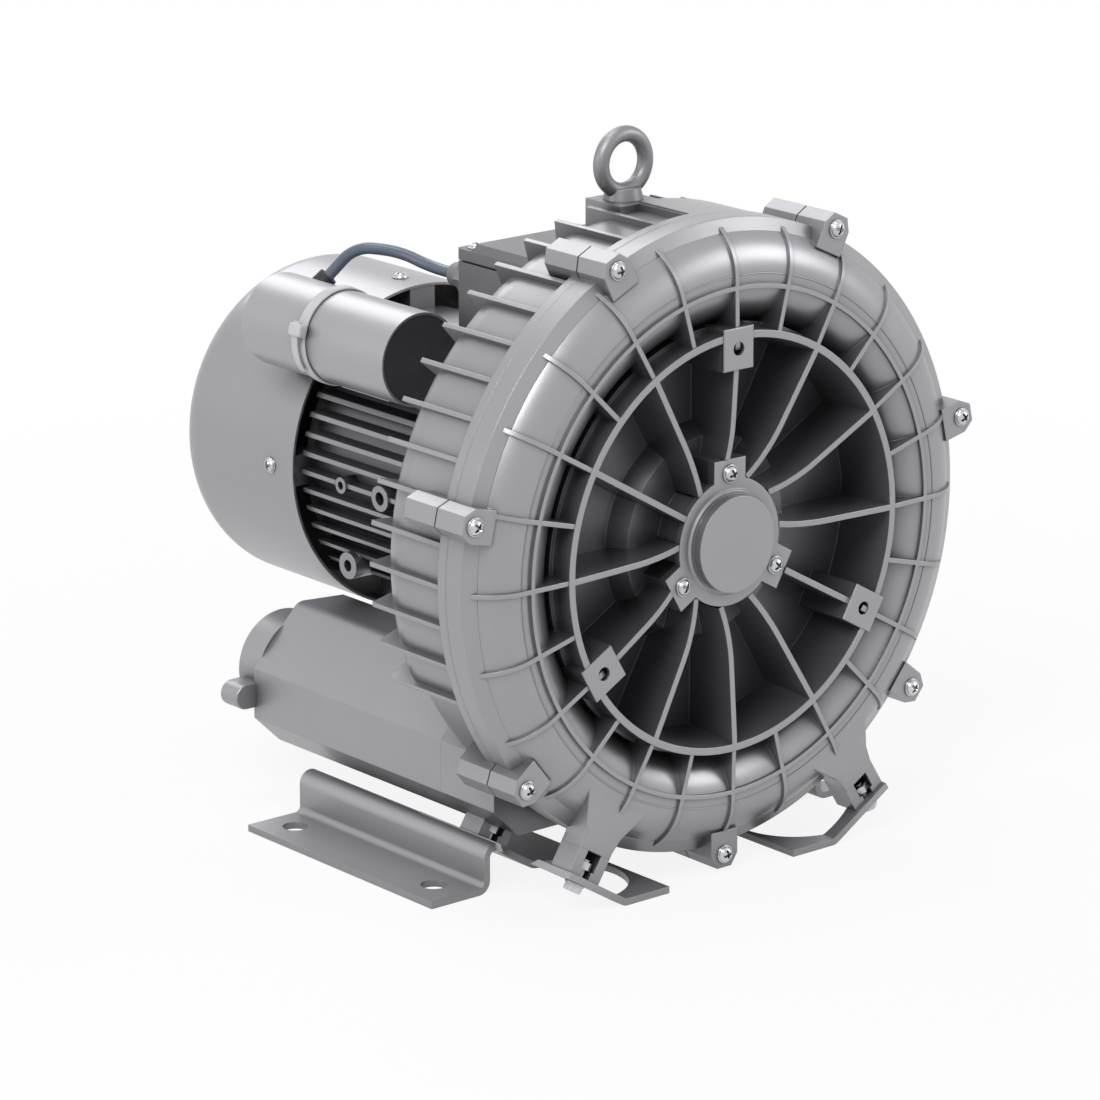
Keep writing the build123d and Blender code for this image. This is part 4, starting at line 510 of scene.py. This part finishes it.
headGrid = placed(roundedBlock((headLong, headWide, headHigh)), headCentre, (headX, 0, headZ))
tie = surfacePiece("cable_tie", [bandGrid, tailGrid, headGrid], "tie_plastic")
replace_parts(tie, "capacitor_strap")
print("cable tie around the capacitor")

# Faint line where the halves of the casting pattern met, outside the rib on the crown
lineSet = {"radius": 0.1322, "tube": 0.00035, "crownRadius": 0.131, "crownDepth": 0.021, "crownSection": 0.026,
           "aroundCount": 360, "tubeCount": 8}


def crownLine(look):
    # Thin ring laid on the crown: its depth follows the circle of the crown's section at that radius
    turn = np.linspace(0, 2 * np.pi, look["aroundCount"], endpoint=False)[:, None]
    small = np.linspace(0, 2 * np.pi, look["tubeCount"], endpoint=False)
    offset = look["radius"] - look["crownRadius"]
    depth = look["crownDepth"] - math.sqrt(look["crownSection"] ** 2 - offset ** 2)
    reach = look["radius"] + look["tube"] * np.cos(small)
    x = reach * np.cos(turn)
    z = reach * np.sin(turn)
    y = depth + look["tube"] * np.sin(small) + 0 * x
    return axisPoint + np.stack([x, y, z], -1)


crownRing = surfacePiece("crown_line", [crownLine(lineSet)], "cast_aluminium", wrapRows=True)
dress(crownRing, coverPaint)
print("line on the crown")


# Forms of the castings that the solids leave out
def swept(profile, first, last, count):
    # Closed outline of radius and depth, turned about the shaft from first to last degrees; where it stops,
    # each end is drawn in to the middle of the outline
    angle = np.radians(np.linspace(first, last, count))[:, None]
    outline = np.array(profile)
    radius = outline[:, 0] + 0 * angle
    depth = outline[:, 1] + 0 * angle
    grid = np.stack([radius * np.cos(angle), depth, radius * np.sin(angle)], -1)
    if last - first < 360:
        middle = np.repeat(grid.mean(1, keepdims=True), len(outline), 1)
        grid = np.concatenate([middle[:1], grid, middle[-1:]])
    else:
        grid = grid[:-1]
    return axisPoint + grid


bandSet = {"inner": 0.1510, "front": 0.0045, "outer": 0.1575, "back": 0.0085, "sunk": 0.0012, "inset": 0.0004,
           "count": 241}
bandProfile = [(bandSet["inner"], bandSet["front"]), (bandSet["outer"], bandSet["back"]),
               (bandSet["outer"] - bandSet["inset"], bandSet["back"] + bandSet["sunk"]),
               (bandSet["inner"], bandSet["back"] + bandSet["sunk"])]
bandGrids = [swept(bandProfile, 0, 360, bandSet["count"])]
band = surfacePiece("cover_shoulder", bandGrids, "cast_aluminium", sharpAngle=20, wrapRows=True)
dress(band, coverPaint)

skinSet = {"radius": 0.1525, "front": 0.0263, "bend": 0.060, "arc": 0.0244, "wall": 0.006, "from": -14.6,
           "to": 202.1, "count": 181, "bendCount": 16}
# Outside of the skin: straight back from the front, then a quarter circle in towards the shaft
bend = np.radians(np.linspace(0, 90, skinSet["bendCount"]))
skinOuter = np.stack([skinSet["radius"] - skinSet["arc"] * (1 - np.cos(bend)),
                      skinSet["bend"] + skinSet["arc"] * np.sin(bend)], 1)
skinInner = skinOuter[::-1] - np.array([skinSet["wall"], skinSet["wall"] / 3])
skinProfile = np.concatenate([[(skinSet["radius"], skinSet["front"])], skinOuter, skinInner,
                              [(skinSet["radius"] - skinSet["wall"], skinSet["front"])]])
skinGrids = [swept(skinProfile, skinSet["from"], skinSet["to"], skinSet["count"])]
surfacePiece("channel_skin", skinGrids, "cast_aluminium")

padSet = {"radius": 0.1568, "foot": 0.146, "front": 0.0212, "back": 0.066, "ease": 0.0006, "from": 67.0,
          "to": 90.0, "count": 25}
padEase = padSet["ease"]
padProfile = [(padSet["foot"], padSet["front"]), (padSet["radius"] - padEase, padSet["front"]),
              (padSet["radius"], padSet["front"] + padEase), (padSet["radius"], padSet["back"] - padEase),
              (padSet["radius"] - padEase, padSet["back"]), (padSet["foot"], padSet["back"])]
padGrids = [swept(padProfile, padSet["from"], padSet["to"], padSet["count"])]
surfacePiece("top_pad", padGrids, "cast_aluminium", sharpAngle=30)


def plate(outline, middle, front, back, ease):
    # Flat outline of x and height pushed from the front to the back depth, with both rims eased;
    # the first and last rows are drawn in to the middle
    outline = np.array(outline)
    middle = np.array(middle)
    reach = np.linalg.norm(outline - middle, axis=1, keepdims=True)
    steps = ((reach, front), (ease, front), (0, front + ease), (0, back - ease), (ease, back), (reach, back))
    rows = []
    for inset, depth in steps:
        flat = outline + (middle - outline) * (inset / reach)
        rows.append(np.stack([flat[:, 0], coverFace + depth + 0 * flat[:, 0], flat[:, 1]], -1))
    return np.stack(rows)


lugSet = {"x": 0.116, "height": 0.056, "radius": 0.0065, "root": 0.1035, "front": 0.236, "back": 0.250,
          "ease": 0.0005, "steps": 25}
lugTurn = np.radians(np.linspace(-90, 90, lugSet["steps"]))
lugScrewSet = {"length": 0.0095, "turns": (25, 62)}
lugGrids = []
lugHeads = []
lugScrewGrid = screwGrid(screwLook, lugScrewSet["length"])
for side, turn in zip((-1, 1), lugScrewSet["turns"]):
    # Tongue: a half circle at the outer end and two straight sides back to the silencer
    root, radius = lugSet["root"], lugSet["radius"]
    outX = np.concatenate([[root], lugSet["x"] + radius * np.cos(lugTurn), [root]])
    outZ = np.concatenate([[-radius], radius * np.sin(lugTurn), [radius]])
    tongue = np.stack([side * outX, lugSet["height"] + outZ], -1)[::side]
    middle = (side * (root + lugSet["x"]) / 2, lugSet["height"])
    lugGrids.append(plate(tongue, middle, lugSet["front"], lugSet["back"], lugSet["ease"]))
    centre = (side * lugSet["x"], coverFace + lugSet["back"], lugSet["height"])
    lugHeads.append(placed(lugScrewGrid, centre, (0, 1, 0), turn))
lugs = surfacePiece("silencer_lugs", lugGrids, "cast_aluminium")
dress(lugs, silencerPaint)
surfacePiece("silencer_lug_screws", lugHeads, "zinc_steel")

rootSet = {"angles": (238.1, 301.9), "front": -0.00415, "back": 0.009, "ease": 0.0006,
           "outline": ((0.132, -0.023), (0.156, -0.0107), (0.164, -0.0105), (0.164, 0.0105), (0.156, 0.0107),
                       (0.132, 0.023))}
rootGrids = []
for angle in rootSet["angles"]:
    outX, outZ = around(angle, 1.0)
    along, across = np.array(rootSet["outline"]).T
    flat = np.stack([along * outX - across * outZ, axisHeight + along * outZ + across * outX], -1)
    rootGrids.append(plate(flat, flat.mean(0), rootSet["front"], rootSet["back"], rootSet["ease"]))
roots = surfacePiece("leg_roots", rootGrids, "cast_aluminium", sharpAngle=30)
dress(roots, coverPaint)

bossSet = {"angles": (90, 210, 330), "circle": 0.097, "width": 0.019, "height": 0.021, "bore": 0.0034,
           "front": -0.0077, "back": -0.0064, "ease": 0.0004, "step": 3.0, "nearZero": 1e-6}
bossTurn = np.radians(np.arange(0, 360, bossSet["step"]))
# Rectangle in polar form: the nearer of the two pairs of sides, around the bore
halfWidth, halfHeight = bossSet["width"] / 2, bossSet["height"] / 2
sides = np.minimum(halfHeight / np.maximum(np.abs(np.cos(bossTurn)), bossSet["nearZero"]),
                   halfWidth / np.maximum(np.abs(np.sin(bossTurn)), bossSet["nearZero"]))
bore = 0 * sides + bossSet["bore"]
bossRims = ((bore, bossSet["back"]), (bore, bossSet["front"]), (sides - bossSet["ease"], bossSet["front"]),
            (sides, bossSet["front"] + bossSet["ease"]), (sides, bossSet["back"]))
bossGrids = []
for angle in bossSet["angles"]:
    outX, outZ = around(angle, 1.0)
    rows = []
    for reach, depth in bossRims:
        along = bossSet["circle"] + reach * np.cos(bossTurn)
        across = reach * np.sin(bossTurn)
        rows.append(np.stack([along * outX - across * outZ, coverFace + depth + 0 * along,
                              axisHeight + along * outZ + across * outX], -1))
    bossGrids.append(np.stack(rows))
bosses = surfacePiece("boss_faces", bossGrids, "cast_aluminium", sharpAngle=30, wrapRows=True)
dress(bosses, coverPaint)
print("shoulder, skin, pad, lugs, leg roots and boss faces")

hexLook = {"aroundCount": 120, "chamfer": 0.58, "faceShare": 0.97, "mouth": 0.12, "washerBore": 0.0027,
           "washerLift": 0.00006, "washerEase": 0.0001, "washerCount": 72, "clearance": 0.00004}


def hexGrid(flats, height, bore, length=0.0):
    # Six-sided prism: its radius is half the flats over the cosine of the angle from the nearest flat,
    # held inside a cone that trims the corners at the far end; a bore or a shank closes the near end
    turn = np.linspace(0, 2 * np.pi, hexLook["aroundCount"], endpoint=False)
    sector = np.mod(turn, np.pi / 3) - np.pi / 6
    corner = flats / 2 / np.cos(sector)
    inscribed = flats / 2
    drop = hexLook["chamfer"] * (corner - inscribed * hexLook["faceShare"])
    rows = [(bore + 0 * turn, -length + 0 * turn)]
    if length:
        rows.append((bore + 0 * turn, 0 * turn))
    rows.append((corner, 0 * turn))
    rows.append((corner, height - drop))
    rows.append((inscribed * hexLook["faceShare"] + 0 * turn, height + 0 * turn))
    if length:
        rows.append((0 * turn, height + 0 * turn))
    else:
        rows.append((bore * (1 + hexLook["mouth"]) + 0 * turn, height + 0 * turn))
        rows.append((bore + 0 * turn, height - bore * hexLook["mouth"] + 0 * turn))
        rows.append((bore + 0 * turn, 0 * turn))
    return np.stack([np.stack([r * np.cos(turn), r * np.sin(turn), z], -1) for r, z in rows])


def washerGrid(radius, thickness):
    # Flat ring with eased edges
    turn = np.linspace(0, 2 * np.pi, hexLook["washerCount"], endpoint=False)
    ease = hexLook["washerEase"]
    bore = hexLook["washerBore"]
    lift = hexLook["washerLift"]
    rows = [(bore, lift), (radius - ease, lift), (radius, ease), (radius, thickness - ease),
            (radius - ease, thickness), (bore, thickness)]
    return np.stack([np.stack([r * np.cos(turn), r * np.sin(turn), z + 0 * turn], -1) for r, z in rows])


footSet = {"angles": (238.1, 301.9), "fronts": (0.0005, 0.0705), "soleRadius": 0.177, "sheet": 0.0035,
           "washer": 0.001, "sole": 0.004, "nutHeight": 0.004, "headHeight": 0.0035, "flats": 0.008,
           "shankRadius": 0.0025, "washerRadius": 0.005, "beyondNut": 0.001}
boltGrids = []
nutGrids = []
for angle in footSet["angles"]:
    x, z = around(angle, 1.0)
    outwards = np.array([x, 0.0, z])
    for front in footSet["fronts"]:
        middle = axisPoint + np.array([0.0, front, 0.0])
        seat = footSet["soleRadius"] + footSet["sheet"]
        shank = sum(footSet[part] for part in ("washer", "sheet", "sole", "nutHeight", "beyondNut"))
        head = hexGrid(footSet["flats"], footSet["headHeight"], footSet["shankRadius"], shank)
        boltGrids.append(placed(head, middle + outwards * (seat + footSet["washer"]), outwards))
        washer = washerGrid(footSet["washerRadius"], footSet["washer"])
        boltGrids.append(placed(washer, middle + outwards * seat, outwards))
        nut = hexGrid(footSet["flats"], footSet["nutHeight"], footSet["shankRadius"] + hexLook["clearance"])
        nutGrids.append(placed(nut, middle + outwards * (footSet["soleRadius"] - footSet["sole"]), -outwards))
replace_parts(surfacePiece("foot_bolt_heads", boltGrids, "zinc_steel"), "foot_bolts")
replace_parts(surfacePiece("foot_nut_faces", nutGrids, "zinc_steel"), "foot_nuts")
print("foot bolts and nuts")

lampSet = {
    "key": {"place": (-2.0, -1.2, 2.4), "aim": (0, 0, 0.15), "size": 1.5, "power": 45.0},
    "fill": {"place": (2.6, -2.2, 1.6), "aim": (0, -0.05, 0.15), "size": 1.6, "power": 28.0},
    "rear": {"place": (-2.6, 1.0, 0.9), "aim": (0, 0.05, 0.18), "size": 1.2, "power": 8.0},
    "over": {"place": (-0.2, 0.5, 2.8), "aim": (0, 0, 0.2), "size": 1.4, "power": 18.0},
    "back": {"place": (0.7, 2.3, 1.9), "aim": (0, 0.1, 0.2), "size": 1.6, "power": 14.0},
}
for lampName, lamp in lampSet.items():
    data = bpy.data.lights.new(lampName, "AREA")
    data.shape = "DISK"
    data.size = lamp["size"]
    data.energy = lamp["power"]
    light = bpy.data.objects.new(lampName, data)
    light.location = lamp["place"]
    direction = Vector(lamp["aim"]) - light.location
    light.rotation_euler = direction.to_track_quat("-Z", "Y").to_euler()
    bpy.context.scene.collection.objects.link(light)

surroundings = {"lightLevel": 0.26, "floorSize": 12.0, "floorGlow": 0.88, "floorColour": (0.92, 0.92, 0.92, 1),
                "shadowReach": 0.35, "whiteFrom": 0.9}
# Outputs of Light Path that see the studio as white
whiteOutputs = {"camera": 0, "glossy": 3, "transmission": 6}


class Sky(Shading):
    # The world's tree, filled through the same methods as a material's
    def __init__(self, world):
        world.use_nodes = True
        self.tree = world.node_tree
        self.tree.nodes.clear()


world = bpy.data.worlds.new("studio")
bpy.context.scene.world = world
sky = Sky(world)
whiteRays = [sky.node("ShaderNodeLightPath", output=number) for number in whiteOutputs.values()]
seen = (whiteRays[0] + whiteRays[1] + whiteRays[2]).between(0.0, 1.0)
level = surroundings["lightLevel"] + seen * (1 - surroundings["lightLevel"])
backdrop = sky.node("ShaderNodeBackground", None, {"Color": (1, 1, 1, 1), "Strength": level})
sky.node("ShaderNodeOutputWorld", None, {0: backdrop})

half = surroundings["floorSize"] / 2
floorMesh = bpy.data.meshes.new("floor")
floorCorners = [(-half, -half, 0), (half, -half, 0), (half, half, 0), (-half, half, 0)]
floorMesh.from_pydata(floorCorners, [], [(0, 1, 2, 3)])
floor = bpy.data.objects.new("floor", floorMesh)
bpy.context.scene.collection.objects.link(floor)
ground = Shading("pale floor")
cameraRay = ground.node("ShaderNodeLightPath", output=whiteOutputs["camera"])
glossyRay = ground.node("ShaderNodeLightPath", output=whiteOutputs["glossy"])
floorX, floorY = ground.place()[:2]
matt = ground.node("ShaderNodeBsdfDiffuse", None, {"Color": surroundings["floorColour"]})
glow = ground.node("ShaderNodeEmission", None, {"Color": (1, 1, 1, 1), "Strength": 1.0})
distance = (floorX * floorX + floorY * floorY) ** 0.5
away = distance.between(surroundings["shadowReach"], surroundings["whiteFrom"])
plain = surroundings["floorGlow"] + away * (1 - surroundings["floorGlow"])
share = cameraRay * plain + glossyRay * surroundings["floorGlow"]
blend = ground.node("ShaderNodeMixShader", None, {0: share, 1: matt, 2: glow})
floor.data.materials.append(ground.finish(blend))

cameraSet = {
    "place": (-1.5927, -1.9143, 0.8601), "lens": 168.78, "sensor": 36.0,
    "right": (0.76964, -0.63847, -0.00195), "up": (0.17949, 0.21344, 0.96033),
    "back": (-0.61272, -0.73946, 0.27887),
}
lens = bpy.data.cameras.new("camera")
lens.sensor_fit = "HORIZONTAL"
lens.sensor_width = cameraSet["sensor"]
lens.lens = cameraSet["lens"]
camera = bpy.data.objects.new("camera", lens)
cameraPose = np.eye(4)
cameraPose[:3, :3] = np.array([cameraSet["right"], cameraSet["up"], cameraSet["back"]]).T
cameraPose[:3, 3] = cameraSet["place"]
camera.matrix_world = Matrix(cameraPose.tolist())
bpy.context.scene.collection.objects.link(camera)
bpy.context.scene.camera = camera
bpy.context.scene.view_settings.view_transform = "Standard"
print("lights, floor and camera")
